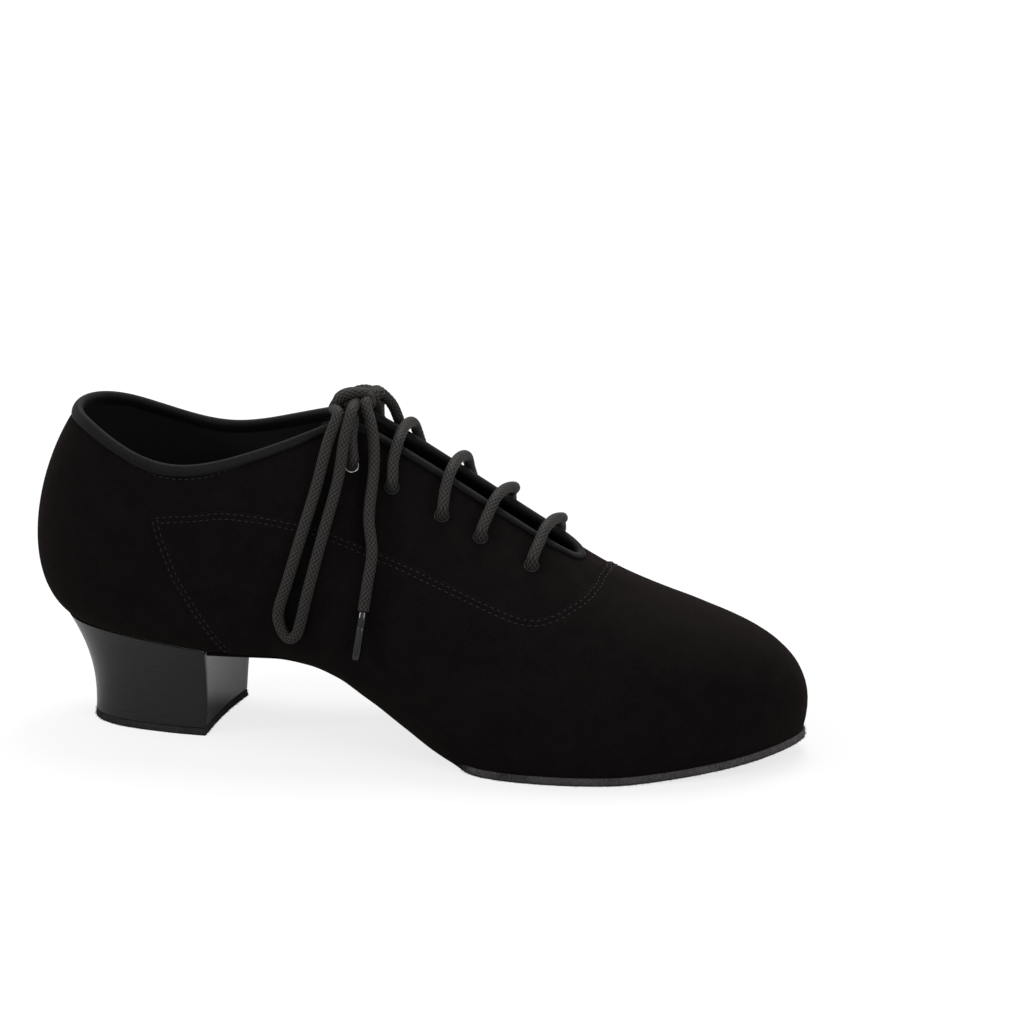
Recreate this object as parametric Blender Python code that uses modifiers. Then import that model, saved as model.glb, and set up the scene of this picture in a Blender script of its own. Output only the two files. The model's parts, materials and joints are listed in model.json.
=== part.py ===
"""Ballroom dance shoe for the right foot: a suede lace-up with a stacked heel.

The shoe stands on the floor, its toe along +X, its inner side along +Y and its
top along +Z.  The origin is on the floor, in the middle of the heel tip.
"""

import math

import bmesh
import bpy
import numpy as np
from mathutils import Matrix, Vector

MM = 0.001

# Main sizes of the last
LENGTH = 267.5 * MM
BALL_WIDTH = 89 * MM
COLLAR_HEIGHT = 110 * MM
SEAT_HEIGHT = 37.4 * MM
SEAT_FALL = 7.6 * MM
TOE_SPRING = 5.5 * MM

# Walls, layers and the gap that neighbouring pieces keep
GAP = 0.3 * MM
WALL = 1.8 * MM
SOLE_FRONT_THICK = 2.7 * MM
SOLE_WAIST_THICK = 1.6 * MM
SOLE_MARGIN = 1.0 * MM
WAIST_SET_IN = 1.0 * MM
INSOLE_THICK = 2.0 * MM
INSOLE_SET_IN = 2.2 * MM
INSOLE_LIFT = 0.3 * MM
BINDING_DEPTH = 3.0 * MM
BINDING_THICK = 0.7 * MM
TONGUE_THICK = 1.3 * MM
TONGUE_ROOM = 2.9 * MM
TONGUE_DEPTH = WALL + TONGUE_ROOM

# Heel
HEEL_TIP_THICK = 2.4 * MM
HEEL_TIP_LENGTH = 46 * MM
HEEL_MARGIN = 0.5 * MM
BREAST_ALONG = 67.5 * MM
BREAST_LEAN = 2.5 * MM
BREAST_HOLLOW = 1.5 * MM
HEEL_FLARE = 2.3

# Eyelets and laces
EYELET_HOLE = 4.4 * MM
EYELET_WALL = 0.4 * MM
EYELET_RISE = 0.4 * MM
EYELET_FLANGE = 0.9 * MM
EYELET_FLANGE_GAP = 0.55 * MM
EYELET_INSET = 14 * MM
LACE = 3.8 * MM
AGLET = 3.0 * MM
AGLET_LENGTH = 16.5 * MM
KNOT_LENGTH = 13.5 * MM
KNOT_WIDTH = 12 * MM
KNOT_HEIGHT = 8.5 * MM
KNOT_ALONG = 115 * MM
KNOT_RISE = 114.5 * MM
LACE_CLEARANCE = 4.5 * GAP

# Fineness of the faceted solids
SPANS = 3
RIB_STEPS = 9
SLAB_SPANS = 4
OUTSOLE_STEPS = 26
INSOLE_STEPS = 24
HEEL_STEPS = 18
HEEL_LEVELS = 7
TURN_STEPS = 12
KNOT_RINGS = 8

# Ribs of the upper, from the back of the heel to the toe tip.  A rib leaves the
# foot edge, swells over its low handle, leans in over its high handle and ends
# at the mouth, which is the collar and then the throat.
# foot_x and mouth_x are shares of LENGTH, foot_y and mouth_y of half BALL_WIDTH,
# mouth_z of COLLAR_HEIGHT, and the handles are shares of the rib's own rise.
RIB_COLUMNS = ("foot_x", "foot_y", "mouth_x", "mouth_y", "mouth_z",
               "low_out", "low_up", "high_out", "high_down")
BACK_RIB = (0.041, 0.000, 0.065, 0.000, 1.000, 0.235, 0.165, 0.25, 0.33)
OUTER_RIBS = (
    (0.052, -0.270, 0.075, -0.250, 0.991, 0.22, 0.16, 0.22, 0.33),
    (0.090, -0.465, 0.107, -0.440, 0.962, 0.18, 0.16, 0.16, 0.32),
    (0.157, -0.570, 0.161, -0.573, 0.900, 0.16, 0.14, 0.11, 0.30),
    (0.247, -0.610, 0.232, -0.630, 0.866, 0.16, 0.12, 0.10, 0.29),
    (0.336, -0.575, 0.314, -0.562, 0.906, 0.21, 0.08, 0.16, 0.28),
    (0.422, -0.570, 0.381, -0.382, 0.960, 0.24, 0.05, 0.24, 0.27),
    (0.505, -0.650, 0.426, -0.202, 0.984, 0.20, 0.10, 0.27, 0.22),
    (0.576, -0.825, 0.479, -0.153, 0.930, 0.13, 0.19, 0.25, 0.20),
    (0.643, -0.973, 0.561, -0.144, 0.816, 0.09, 0.27, 0.26, 0.20),
    (0.714, -1.000, 0.640, -0.139, 0.700, 0.09, 0.34, 0.30, 0.21),
    (0.793, -0.921, 0.686, -0.126, 0.634, 0.09, 0.43, 0.40, 0.25),
    (0.875, -0.697, 0.704, -0.085, 0.606, 0.11, 0.54, 0.52, 0.33),
    (0.946, -0.400, 0.710, -0.040, 0.594, 0.15, 0.63, 0.62, 0.41),
)
TOE_RIB = (0.989, 0.090, 0.712, 0.011, 0.592, 0.18, 0.67, 0.64, 0.44)
INNER_RIBS = (
    (0.052, 0.270, 0.075, 0.250, 0.993, 0.22, 0.16, 0.22, 0.33),
    (0.090, 0.455, 0.107, 0.440, 0.966, 0.18, 0.16, 0.16, 0.32),
    (0.157, 0.560, 0.161, 0.585, 0.912, 0.16, 0.14, 0.11, 0.30),
    (0.247, 0.585, 0.232, 0.652, 0.878, 0.15, 0.12, 0.10, 0.29),
    (0.336, 0.465, 0.314, 0.585, 0.916, 0.24, 0.09, 0.14, 0.28),
    (0.422, 0.390, 0.381, 0.404, 0.966, 0.28, 0.09, 0.22, 0.27),
    (0.505, 0.500, 0.426, 0.225, 0.985, 0.23, 0.13, 0.26, 0.22),
    (0.576, 0.713, 0.479, 0.175, 0.933, 0.15, 0.21, 0.25, 0.20),
    (0.643, 0.888, 0.561, 0.166, 0.818, 0.10, 0.28, 0.26, 0.20),
    (0.714, 0.955, 0.640, 0.162, 0.702, 0.09, 0.34, 0.30, 0.21),
    (0.793, 0.899, 0.686, 0.148, 0.636, 0.09, 0.43, 0.40, 0.25),
    (0.875, 0.708, 0.704, 0.108, 0.608, 0.11, 0.54, 0.52, 0.33),
    (0.946, 0.465, 0.710, 0.063, 0.596, 0.15, 0.63, 0.62, 0.41),
)

# Underside of the sole in front of the heel: along is a share of LENGTH, height
# a share of the height at the heel's breast, and spring one of TOE_SPRING.
TREAD_COLUMNS = ("along", "height", "spring")
TREAD = (
    (0.340, 1.000, 0.00),
    (0.385, 0.945, 0.00),
    (0.430, 0.795, 0.00),
    (0.475, 0.560, 0.00),
    (0.520, 0.305, 0.00),
    (0.560, 0.130, 0.00),
    (0.600, 0.025, 0.00),
    (0.625, 0.000, 0.00),
    (0.790, 0.000, 0.00),
    (0.860, 0.000, 0.18),
    (0.930, 0.000, 0.55),
    (1.000, 0.000, 1.00),
)

# Where the sole fills out from the waist to the forepart, and where the insole starts
FOREPART = (0.58 * LENGTH, 0.612 * LENGTH)
INSOLE_BACK_RIB = 0.18

# Tongue, from its top to under the vamp.  The columns are the rib along the
# throat, how far down the ribs its sides reach, and the closing, which is 1
# where it runs together.  Its end row drops and gathers towards the middle.
TONGUE_ROWS = (
    (7.0, 0.25, 0),
    (8.0, 0.27, 0),
    (9.0, 0.27, 0),
    (10.0, 0.27, 0),
    (11.0, 0.27, 0),
    (12.0, 0.28, 0.35),
    (13.0, 0.28, 1),
)
TONGUE_SHARES = (1.0, 0.6, 0.25, 0.0)
TONGUE_END_DROP = 0.7
TONGUE_END_GATHER = 0.35
TONGUE_ARCH = 1.2 * MM
TONGUE_TOP_LENGTH = 10 * MM
TONGUE_TOP_RISE = -0.5 * MM
TONGUE_TOP_BULGE = 0.4
TONGUE_TOP_NARROWING = 0.18

# Eyelet pairs from the toe end, as shares of LENGTH, and where the throat begins
EYELETS_ALONG = (0.6685, 0.604, 0.555, 0.491, 0.4405)
THROAT_RIB = 6

# A lace leaving its eyelet goes out of the wall and towards the mouth, in lace
# diameters.  A bar arches over the throat, and a strand crosses the mouth.
LEAVING_ROUTE = ((0.35, 0.0), (0.86, 0.32))
BAR_ARCH = 0.6
STRAND_RIB = 7.15

# Where the lace meets the knot's side, as shares of the knot's length and height
LOOP_STARTS = (-0.36, 0.2)
LOOP_RETURNS = (0.0, 0.2)
END_STARTS = (0.36, 0.2)
STRAND_JOINS = (-0.05, -0.32)

# Routes of a loop and of a lace end.  The columns are the place around the shoe in
# ribs, the reach up the rib, and the lift off the upper in lace diameters.
LOOP_ROUTE = (
    (6.72, 1.000, 1.95),
    (6.66, 0.910, 1.50),
    (6.47, 0.785, 0.82),
    (6.06, 0.648, 0.72),
    (5.70, 0.504, 0.72),
    (5.43, 0.350, 0.72),
    (5.52, 0.262, 0.72),
    (5.78, 0.335, 0.72),
    (6.14, 0.500, 0.72),
    (6.62, 0.660, 0.74),
    (7.05, 0.800, 1.20),
    (7.16, 0.920, 2.05),
    (7.14, 1.000, 2.35),
)
END_ROUTE = (
    (7.60, 1.000, 1.60),
    (7.72, 0.950, 1.35),
    (7.90, 0.875, 1.00),
    (7.97, 0.730, 0.75),
    (7.89, 0.620, 0.72),
    (7.70, 0.538, 0.72),
    (7.48, 0.477, 0.72),
)

RIBS = np.array((BACK_RIB, *OUTER_RIBS, TOE_RIB, *reversed(INNER_RIBS)))
TOE = len(OUTER_RIBS) + 1
OUTER, INNER = 1, -1
UP = Vector((0, 0, 1))
ORIGIN_ALONG = BREAST_ALONG - BREAST_LEAN - HEEL_TIP_LENGTH / 2
# The short step, in ribs or up a rib, that directions on the upper are read over
NEAR = 0.02


def closed_slopes(rows):
    """Slopes that make a closed cubic through equally spaced rows smooth."""
    n = len(rows)
    system = 4 * np.eye(n) + np.roll(np.eye(n), 1, 1) + np.roll(np.eye(n), -1, 1)
    return np.linalg.solve(system, 3 * (np.roll(rows, -1, 0) - np.roll(rows, 1, 0)))


RIB_SLOPES = closed_slopes(RIBS)


def hermite(a, b, slope_a, slope_b, t):
    """Cubic from a to b with the given slopes at its ends."""
    s = 1 - t
    return ((1 + 2 * t) * s * s * a + t * s * s * slope_a
            + t * t * (3 - 2 * t) * b - t * t * s * slope_b)


TREAD_TABLE = np.array([(BREAST_ALONG / LENGTH, 1.0, 0.0), *TREAD])


def tread_value(column, along):
    """A column of the tread table, read between its rows with no overshoot."""
    knots, values = TREAD_TABLE[:, 0], TREAD_TABLE[:, TREAD_COLUMNS.index(column)]
    i = min(max(int(np.searchsorted(knots, along)) - 1, 0), len(knots) - 2)
    steps = np.diff(knots)
    rates = np.diff(values) / steps

    def slope(k):
        a, b = rates[max(k - 1, 0)], rates[min(k, len(rates) - 1)]
        return 2 * a * b / (a + b) if a * b > 0 else 0.0

    t = min(max((along - knots[i]) / steps[i], 0.0), 1.0)
    return hermite(values[i], values[i + 1], slope(i) * steps[i], slope(i + 1) * steps[i], t)


def tread_height(along):
    """Height of the sole's underside at a distance from the back of the shoe."""
    if along <= BREAST_ALONG:
        return SEAT_HEIGHT - SEAT_FALL * along / BREAST_ALONG
    share = along / LENGTH
    height = tread_value("height", share) * (SEAT_HEIGHT - SEAT_FALL)
    return height + tread_value("spring", share) * TOE_SPRING


def ease(value, low, high):
    """0 before low, 1 after high, and smooth in between."""
    t = min(max((value - low) / (high - low), 0.0), 1.0)
    return t * t * (3 - 2 * t)


def sole_thickness(along):
    """The sole is thin under seat and waist, and full from the ball on."""
    full = ease(along, *FOREPART)
    return SOLE_WAIST_THICK + (SOLE_FRONT_THICK - SOLE_WAIST_THICK) * full


def feather_height(along):
    """Height of the upper's foot edge, just above the sole."""
    return tread_height(along) + sole_thickness(along) + GAP


def rib_values(at):
    """The rib table's columns at a place around the shoe, in ribs from the back."""
    i = int(math.floor(at)) % len(RIBS)
    j = (i + 1) % len(RIBS)
    row = hermite(RIBS[i], RIBS[j], RIB_SLOPES[i], RIB_SLOPES[j], at - math.floor(at))
    return dict(zip(RIB_COLUMNS, row))


def foot_point(at):
    """The upper's foot edge at a place around the shoe."""
    row = rib_values(at)
    x = row["foot_x"] * LENGTH
    return Vector((x, row["foot_y"] * BALL_WIDTH / 2, feather_height(x)))


def foot_away(at):
    """Level direction out of the shoe at the foot edge."""
    ahead = foot_point(at + NEAR) - foot_point(at - NEAR)
    return Vector((ahead.y, -ahead.x, 0)).normalized()


def rib_handles(at):
    """The four control points of the rib at a place around the shoe."""
    row = rib_values(at)
    foot = foot_point(at)
    mouth = Vector((row["mouth_x"] * LENGTH, row["mouth_y"] * BALL_WIDTH / 2,
                    row["mouth_z"] * COLLAR_HEIGHT))
    away = foot_away(at)
    rise = mouth.z - foot.z
    low = foot + (away * row["low_out"] + UP * row["low_up"]) * rise
    high = mouth + (away * row["high_out"] - UP * row["high_down"]) * rise
    return foot, low, high, mouth


def rib_point(at, t):
    """A point on the upper's outside: t is 0 at the foot edge and 1 at the mouth."""
    foot, low, high, mouth = rib_handles(at)
    s = 1 - t
    return foot * s ** 3 + low * (3 * s * s * t) + high * (3 * s * t * t) + mouth * t ** 3


def rib_normal(at, t):
    """Direction out of the upper at a point on its outside."""
    around = rib_point(at + NEAR, t) - rib_point(at - NEAR, t)
    upward = rib_point(at, min(t + NEAR, 1)) - rib_point(at, t - NEAR)
    return around.cross(upward).normalized()


def below_mouth(at, distance):
    """Where a rib lies a given distance below its mouth."""
    t = 0.8
    for _ in range(6):
        t = 1 - (1 - t) * distance / (rib_point(at, 1) - rib_point(at, t)).length
    return t


def solve(function, value, low, high):
    """Where a rising function reaches a value."""
    for _ in range(30):
        middle = (low + high) / 2
        if function(middle) < value:
            low = middle
        else:
            high = middle
    return low


def places_around():
    """Equal steps around the whole shoe."""
    return [k / SPANS for k in range(len(RIBS) * SPANS)]


def settle(point):
    """From the last's own frame, x from the back, to the shoe's frame."""
    return Vector((point[0] - ORIGIN_ALONG, point[1], point[2]))


def link(name, data, material, collection):
    data.materials.append(material)
    piece = bpy.data.objects.new(name, data)
    collection.objects.link(piece)
    return piece


def mesh_of(bm, name, turn_out=True):
    if turn_out:
        bmesh.ops.recalc_face_normals(bm, faces=bm.faces[:])
    mesh = bpy.data.meshes.new(name)
    bm.to_mesh(mesh)
    bm.free()
    mesh.shade_smooth()
    return mesh


def corners(bm, points):
    return [bm.verts.new(settle(p)) for p in points]


def grid_faces(bm, rows, around=False, closed=False):
    """Faces between neighbouring rows of corners, which may run around or close."""
    n, m = len(rows), len(rows[0])
    for i in range(n if closed else n - 1):
        for j in range(m if around else m - 1):
            a, b = rows[i], rows[(i + 1) % n]
            bm.faces.new((a[j], a[(j + 1) % m], b[(j + 1) % m], b[j]))


def loft(name, levels, material):
    """A closed solid through outlines of equal count, from its foot to its top."""
    bm = bmesh.new()
    rows = [corners(bm, level) for level in levels]
    grid_faces(bm, rows, around=True)
    bm.faces.new(rows[0])
    bm.faces.new(rows[-1])
    return link(name, mesh_of(bm, name), material, SHOE)


def slab(name, material, pairs, tip, first_line, bottom, top):
    """A plate whose faces follow two height functions, from pairs of edge points."""
    bm = bmesh.new()
    lines = [first_line] + [[outer.lerp(inner, j / SLAB_SPANS) for j in range(SLAB_SPANS + 1)]
                            for outer, inner in pairs[1:]]
    rims = []
    for height in (top, bottom):
        rows = [corners(bm, [(p.x, p.y, height(p.x)) for p in line]) for line in lines]
        end = corners(bm, [(tip.x, tip.y, height(tip.x))])[0]
        grid_faces(bm, rows)
        for j in range(SLAB_SPANS):
            bm.faces.new((end, rows[-1][j], rows[-1][j + 1]))
        rims.append([*[row[0] for row in rows], end, *[row[-1] for row in rows[::-1]],
                     *rows[0][SLAB_SPANS - 1:0:-1]])
    grid_faces(bm, rims, around=True)
    return link(name, mesh_of(bm, name), material, SHOE)


def breast_rib(side, along):
    """The rib place on one side whose foot edge is a given way along."""
    return side * solve(lambda k: foot_point(side * k).x, along, 0, TOE)


def edge_point(at, margin):
    return foot_point(at) + foot_away(at) * margin(foot_point(at).x)


def edge_pairs(start, margin, steps):
    """Outer and inner edge points from a distance along the shoe to the toe."""
    first = {side: abs(breast_rib(side, start)) for side in (OUTER, INNER)}
    return [[edge_point(side * (first[side] + (TOE - first[side]) * k / steps), margin)
             for side in (OUTER, INNER)] for k in range(steps)]


def sole_margin(along):
    """The sole stands out in front and is set in under the waist."""
    full = ease(along, *FOREPART)
    return -WAIST_SET_IN + (WAIST_SET_IN + SOLE_MARGIN) * full


def breast_line(outer, inner, gap):
    """Points across the heel's hollow breast, or a gap in front of it."""
    line = []
    for j in range(SLAB_SPANS + 1):
        share = 2 * j / SLAB_SPANS - 1
        point = outer.lerp(inner, j / SLAB_SPANS)
        line.append(Vector((BREAST_ALONG + gap - BREAST_HOLLOW * (1 - share * share), point.y, 0)))
    return line


def make_upper(suede, punches):
    """Vamp and quarters: one hollow wall, open at collar, throat and underneath."""
    bm = bmesh.new()
    places = places_around()
    rows = [corners(bm, [rib_point(at, t / RIB_STEPS) for at in places])
            for t in range(RIB_STEPS + 1)]
    grid_faces(bm, rows, around=True)
    upper = link("upper", mesh_of(bm, "upper", turn_out=False), suede, SHOE)
    wall = upper.modifiers.new("wall", "SOLIDIFY")
    wall.thickness = WALL
    wall.offset = -1
    wall.use_even_offset = True
    holes = upper.modifiers.new("eyelet_holes", "BOOLEAN")
    holes.operation = "DIFFERENCE"
    holes.solver = "EXACT"
    holes.object = punches


def make_outsole(material):
    pairs = edge_pairs(BREAST_ALONG + GAP, sole_margin, OUTSOLE_STEPS)
    tip = edge_point(TOE, sole_margin)
    slab("outsole", material, pairs, tip, breast_line(*pairs[0], GAP), tread_height,
         lambda x: tread_height(x) + sole_thickness(x))


def insole_margin(along):
    """The insole lies the same way inside the upper's foot edge all round."""
    return -INSOLE_SET_IN


def make_insole(material):
    pairs = edge_pairs(foot_point(0).x, insole_margin, INSOLE_STEPS)
    start = [edge_point(side * INSOLE_BACK_RIB, insole_margin) for side in (OUTER, INNER)]
    first = [start[0].lerp(start[1], j / SLAB_SPANS) for j in range(SLAB_SPANS + 1)]
    tip = edge_point(TOE, insole_margin)
    slab("insole", material, pairs, tip, first, lambda x: feather_height(x) + INSOLE_LIFT,
         lambda x: feather_height(x) + INSOLE_LIFT + INSOLE_THICK)


def heel_outline(scale, lean):
    """The seat's outline drawn in towards the middle of the breast, and set back."""
    outer, inner = (breast_rib(side, BREAST_ALONG) for side in (OUTER, INNER))
    around = [edge_point(outer + (inner - outer) * k / HEEL_STEPS, lambda x: HEEL_MARGIN)
              for k in range(HEEL_STEPS + 1)]
    across = breast_line(around[-1], around[0], 0)
    outline = []
    for point in (*around[1:-1], *across):
        outline.append(Vector((BREAST_ALONG - lean + (point.x - BREAST_ALONG) * scale,
                               point.y * scale, 0)))
    return outline


def heel_level(share):
    """An outline of the heel block: share is 0 on the tip and 1 under the seat."""
    tip_scale = HEEL_TIP_LENGTH / (BREAST_ALONG - foot_point(0).x)
    scale = tip_scale + (1 - tip_scale) * share ** HEEL_FLARE
    foot = HEEL_TIP_THICK + GAP
    level = heel_outline(scale, BREAST_LEAN * (1 - share))
    for point in level:
        top = feather_height(point.x) - GAP
        point.z = foot + (top - foot) * share
    return level


def make_heel(block_material, tip_material):
    levels = [heel_level(k / HEEL_LEVELS) for k in range(HEEL_LEVELS + 1)]
    loft("heel_block", levels, block_material)
    tip = [Vector((p.x, p.y, 0)) for p in levels[0]]
    loft("heel_tip", [tip, [p + UP * HEEL_TIP_THICK for p in tip]], tip_material)


def make_binding(material):
    """A folded tape that wraps the mouth's edge, collar and throat in one run."""
    inside = -WALL - GAP
    section = ((GAP, -BINDING_DEPTH), (GAP + BINDING_THICK, -BINDING_DEPTH),
               (GAP + BINDING_THICK, GAP + BINDING_THICK),
               (inside - BINDING_THICK, GAP + BINDING_THICK),
               (inside - BINDING_THICK, -BINDING_DEPTH), (inside, -BINDING_DEPTH),
               (inside, GAP), (GAP, GAP))
    bm = bmesh.new()
    rows = []
    for at in places_around():
        mouth, below = rib_point(at, 1), rib_point(at, 1 - 1 / RIB_STEPS)
        up = (mouth - below).normalized()
        normal = (rib_point(at + NEAR, 1) - rib_point(at - NEAR, 1)).cross(up).normalized()
        rows.append(corners(bm, [mouth + normal * out + up * rise for out, rise in section]))
    grid_faces(bm, rows, around=True, closed=True)
    link("topline_binding", mesh_of(bm, "topline_binding"), material, SHOE)


def tongue_side(side, rib, reach, closing):
    """Points on one side of the tongue, under the upper, from its edge to the throat."""
    points = []
    for share in TONGUE_SHARES:
        at = side * (rib + (TOE - rib) * closing * (1 - share))
        t = 1 - reach * (share + closing * TONGUE_END_DROP * (1 - share))
        points.append(rib_point(at, t) - rib_normal(at, t) * TONGUE_DEPTH)
    if closing == 1:
        points[-1] = points[-1].lerp(points[-2], TONGUE_END_GATHER)
    return points


def tongue_top(row, share):
    """A row of the tongue's free top, share 1 at its end, made from the row below."""
    rise = TONGUE_TOP_RISE * share * (1 + TONGUE_TOP_BULGE * (1 - share))
    return [Vector((p.x - TONGUE_TOP_LENGTH * share, p.y * (1 - TONGUE_TOP_NARROWING * share),
                    p.z + rise)) for p in row]


def make_tongue(material):
    rows = []
    for rib, reach, closing in TONGUE_ROWS:
        outer = tongue_side(OUTER, rib, reach, closing)
        inner = tongue_side(INNER, rib, reach, closing)
        middle = (outer[-1] + inner[-1]) / 2 + UP * TONGUE_ARCH * (1 - closing)
        rows.append([*outer, middle, *inner[::-1]])
    rows = [tongue_top(rows[0], 1), tongue_top(rows[0], 0.5), *rows]
    bm = bmesh.new()
    grid_faces(bm, [corners(bm, row) for row in rows])
    tongue = link("tongue", mesh_of(bm, "tongue", turn_out=False), material, SHOE)
    wall = tongue.modifiers.new("wall", "SOLIDIFY")
    wall.thickness = TONGUE_THICK
    wall.offset = -1


def eyelet_frame(along, side):
    """Centre, outward and mouthward directions of an eyelet, and its rib place."""
    def reached(rib):
        return rib_point(side * rib, below_mouth(side * rib, EYELET_INSET)).x

    at = side * solve(reached, along, THROAT_RIB, TOE - 1)
    t = below_mouth(at, EYELET_INSET)
    centre, out = rib_point(at, t), rib_normal(at, t)
    mouthward = rib_point(at, t + NEAR) - rib_point(at, t - NEAR)
    mouthward = (mouthward - out * mouthward.dot(out)).normalized()
    return centre, out, mouthward, at


def turn_to(centre, out):
    """Matrix that sets a piece made along +Z on a place of the upper."""
    turn = UP.rotation_difference(out).to_matrix().to_4x4()
    return Matrix.Translation(settle(centre)) @ turn


def make_eyelet(name, centre, out, material):
    """A turned barrel through the wall with its flange inside."""
    hole, barrel = EYELET_HOLE / 2, EYELET_HOLE / 2 + EYELET_WALL
    flange = -WALL - EYELET_FLANGE_GAP
    profile = ((barrel, EYELET_RISE), (barrel, flange), (barrel + EYELET_FLANGE, flange),
               (barrel + EYELET_FLANGE, flange - EYELET_WALL), (hole, flange - EYELET_WALL),
               (hole, EYELET_RISE))
    bm = bmesh.new()
    ring = [bm.verts.new((r, 0, z)) for r, z in profile]
    for a, b in zip(ring, ring[1:] + ring[:1]):
        bm.edges.new((a, b))
    eyelet = link(name, mesh_of(bm, name, turn_out=False), material, SHOE)
    screw = eyelet.modifiers.new("turn", "SCREW")
    screw.steps = TURN_STEPS
    screw.render_steps = TURN_STEPS
    screw.use_merge_vertices = True
    screw.merge_threshold = 0.00001
    eyelet.matrix_world = turn_to(centre, out)


def make_punches(frames, material):
    """One punch for all eyelet holes, which the upper's wall is cut with."""
    bm = bmesh.new()
    radius = EYELET_HOLE / 2 + EYELET_WALL + GAP
    for frame in frames:
        made = bmesh.ops.create_cone(bm, cap_ends=True, segments=TURN_STEPS, radius1=radius,
                                     radius2=radius, depth=4 * WALL)
        bmesh.ops.transform(bm, matrix=turn_to(*frame[:2]), verts=made["verts"])
    punches = link("eyelet_punches", mesh_of(bm, "eyelet_punches"), material, CUTTERS)
    punches.hide_render = True
    punches.display_type = "WIRE"
    return punches


def smooth_route(route, between):
    """Points on a smooth curve through a route's own points."""
    steps = [(b - a).length for a, b in zip(route, route[1:])]
    slopes = [(route[1] - route[0]) / steps[0]]
    for k in range(1, len(steps)):
        slopes.append((route[k + 1] - route[k - 1]) / (steps[k - 1] + steps[k]))
    slopes.append((route[-1] - route[-2]) / steps[-1])
    points = []
    for k, step in enumerate(steps):
        points += [hermite(route[k], route[k + 1], slopes[k] * step, slopes[k + 1] * step,
                           j / between) for j in range(between)]
    return [*points, route[-1]]


def make_tube(name, points, diameter, material):
    curve = bpy.data.curves.new(name, "CURVE")
    curve.dimensions = "3D"
    curve.bevel_depth = diameter / 2
    curve.bevel_resolution = 2
    curve.use_fill_caps = True
    spline = curve.splines.new("POLY")
    spline.points.add(len(points) - 1)
    for target, point in zip(spline.points, points):
        target.co = (*settle(point), 1)
    link(name, curve, material, SHOE)


def lace_leaves(centre, out, mouthward, at, mouth_at):
    """Route of a lace out of an eyelet and over the binding."""
    over = LACE_CLEARANCE + BINDING_THICK + LACE / 2
    half = below_mouth(at, EYELET_INSET / 2)
    halfway = (at + mouth_at) / 2
    return [centre - out * WALL / 2,
            *[centre + (out * rise + mouthward * ahead) * LACE for rise, ahead in LEAVING_ROUTE],
            rib_point(halfway, half) + rib_normal(halfway, half) * over,
            rib_point(mouth_at, 1) + rib_normal(mouth_at, 1) * over + UP * GAP]


def make_bar(name, outer_frame, inner_frame, material):
    """A lace crossing the throat between the two eyelets of a pair."""
    outer, inner = (lace_leaves(*frame, frame[-1]) for frame in (outer_frame, inner_frame))
    middle = (outer[-1] + inner[-1]) / 2 + UP * LACE * BAR_ARCH
    make_tube(name, smooth_route([*outer, middle, *inner[::-1]], 2)[1:-1], LACE, material)


def knot_side(side, place, away=0.0):
    """A point just off the knot's side, or a distance away from it."""
    along, up = place
    return Vector((KNOT_ALONG + along * KNOT_LENGTH, -side * (KNOT_WIDTH / 2 + GAP + away),
                   KNOT_RISE + up * KNOT_HEIGHT))


def on_upper(side, rows):
    """Route points lifted off the upper, on one side of the shoe."""
    return [rib_point(side * rib, reach) + rib_normal(side * rib, reach) * lift * LACE
            for rib, reach, lift in rows]


def make_bow_side(side, word, material, aglet_material):
    """One loop of the bow, one lace end and its aglet."""
    loop = [knot_side(side, LOOP_STARTS), knot_side(side, LOOP_STARTS, LACE / 2),
            *on_upper(side, LOOP_ROUTE),
            knot_side(side, LOOP_RETURNS, LACE / 2), knot_side(side, LOOP_RETURNS)]
    make_tube("lace_loop_" + word, smooth_route(loop, 2), LACE, material)
    end = smooth_route([knot_side(side, END_STARTS), knot_side(side, END_STARTS, LACE / 2),
                        *on_upper(side, END_ROUTE)], 2)
    make_tube("lace_end_" + word, end, LACE, material)
    ahead = (end[-1] - end[-2]).normalized()
    bm = bmesh.new()
    bmesh.ops.create_cone(bm, cap_ends=True, segments=TURN_STEPS, radius1=AGLET / 2,
                          radius2=AGLET / 2, depth=AGLET_LENGTH)
    aglet = link("aglet_" + word, mesh_of(bm, "aglet_" + word), aglet_material, SHOE)
    aglet.matrix_world = turn_to(end[-1] + ahead * (GAP + AGLET_LENGTH / 2), ahead)


def make_knot(material):
    bm = bmesh.new()
    bmesh.ops.create_uvsphere(bm, u_segments=TURN_STEPS, v_segments=KNOT_RINGS, radius=0.5)
    bmesh.ops.scale(bm, vec=(KNOT_LENGTH, KNOT_WIDTH, KNOT_HEIGHT), verts=bm.verts[:])
    knot = link("lace_knot", mesh_of(bm, "lace_knot"), material, SHOE)
    knot.location = settle((KNOT_ALONG, 0, KNOT_RISE))


def make_laces(outer_frames, inner_frames, material, aglet_material):
    pairs = list(zip(outer_frames, inner_frames))
    for k, (outer, inner) in enumerate(pairs[:-1]):
        make_bar(f"lace_bar_{k + 1}", outer, inner, material)
    for side, word, frame in ((OUTER, "outer", outer_frames[-1]), (INNER, "inner", inner_frames[-1])):
        strand = [*lace_leaves(*frame, side * STRAND_RIB), knot_side(side, STRAND_JOINS)]
        make_tube("lace_strand_" + word, smooth_route(strand, 2)[1:], LACE, material)
        make_bow_side(side, word, material, aglet_material)
    make_knot(material)


def make_material(name, colour, roughness, metallic=0.0):
    material = bpy.data.materials.new(name)
    material.use_nodes = True
    shader = material.node_tree.nodes["Principled BSDF"]
    shader.inputs["Base Color"].default_value = (*colour, 1)
    shader.inputs["Roughness"].default_value = roughness
    shader.inputs["Metallic"].default_value = metallic
    return material


def new_collection(name):
    collection = bpy.data.collections.new(name)
    bpy.context.scene.collection.children.link(collection)
    return collection


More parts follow.
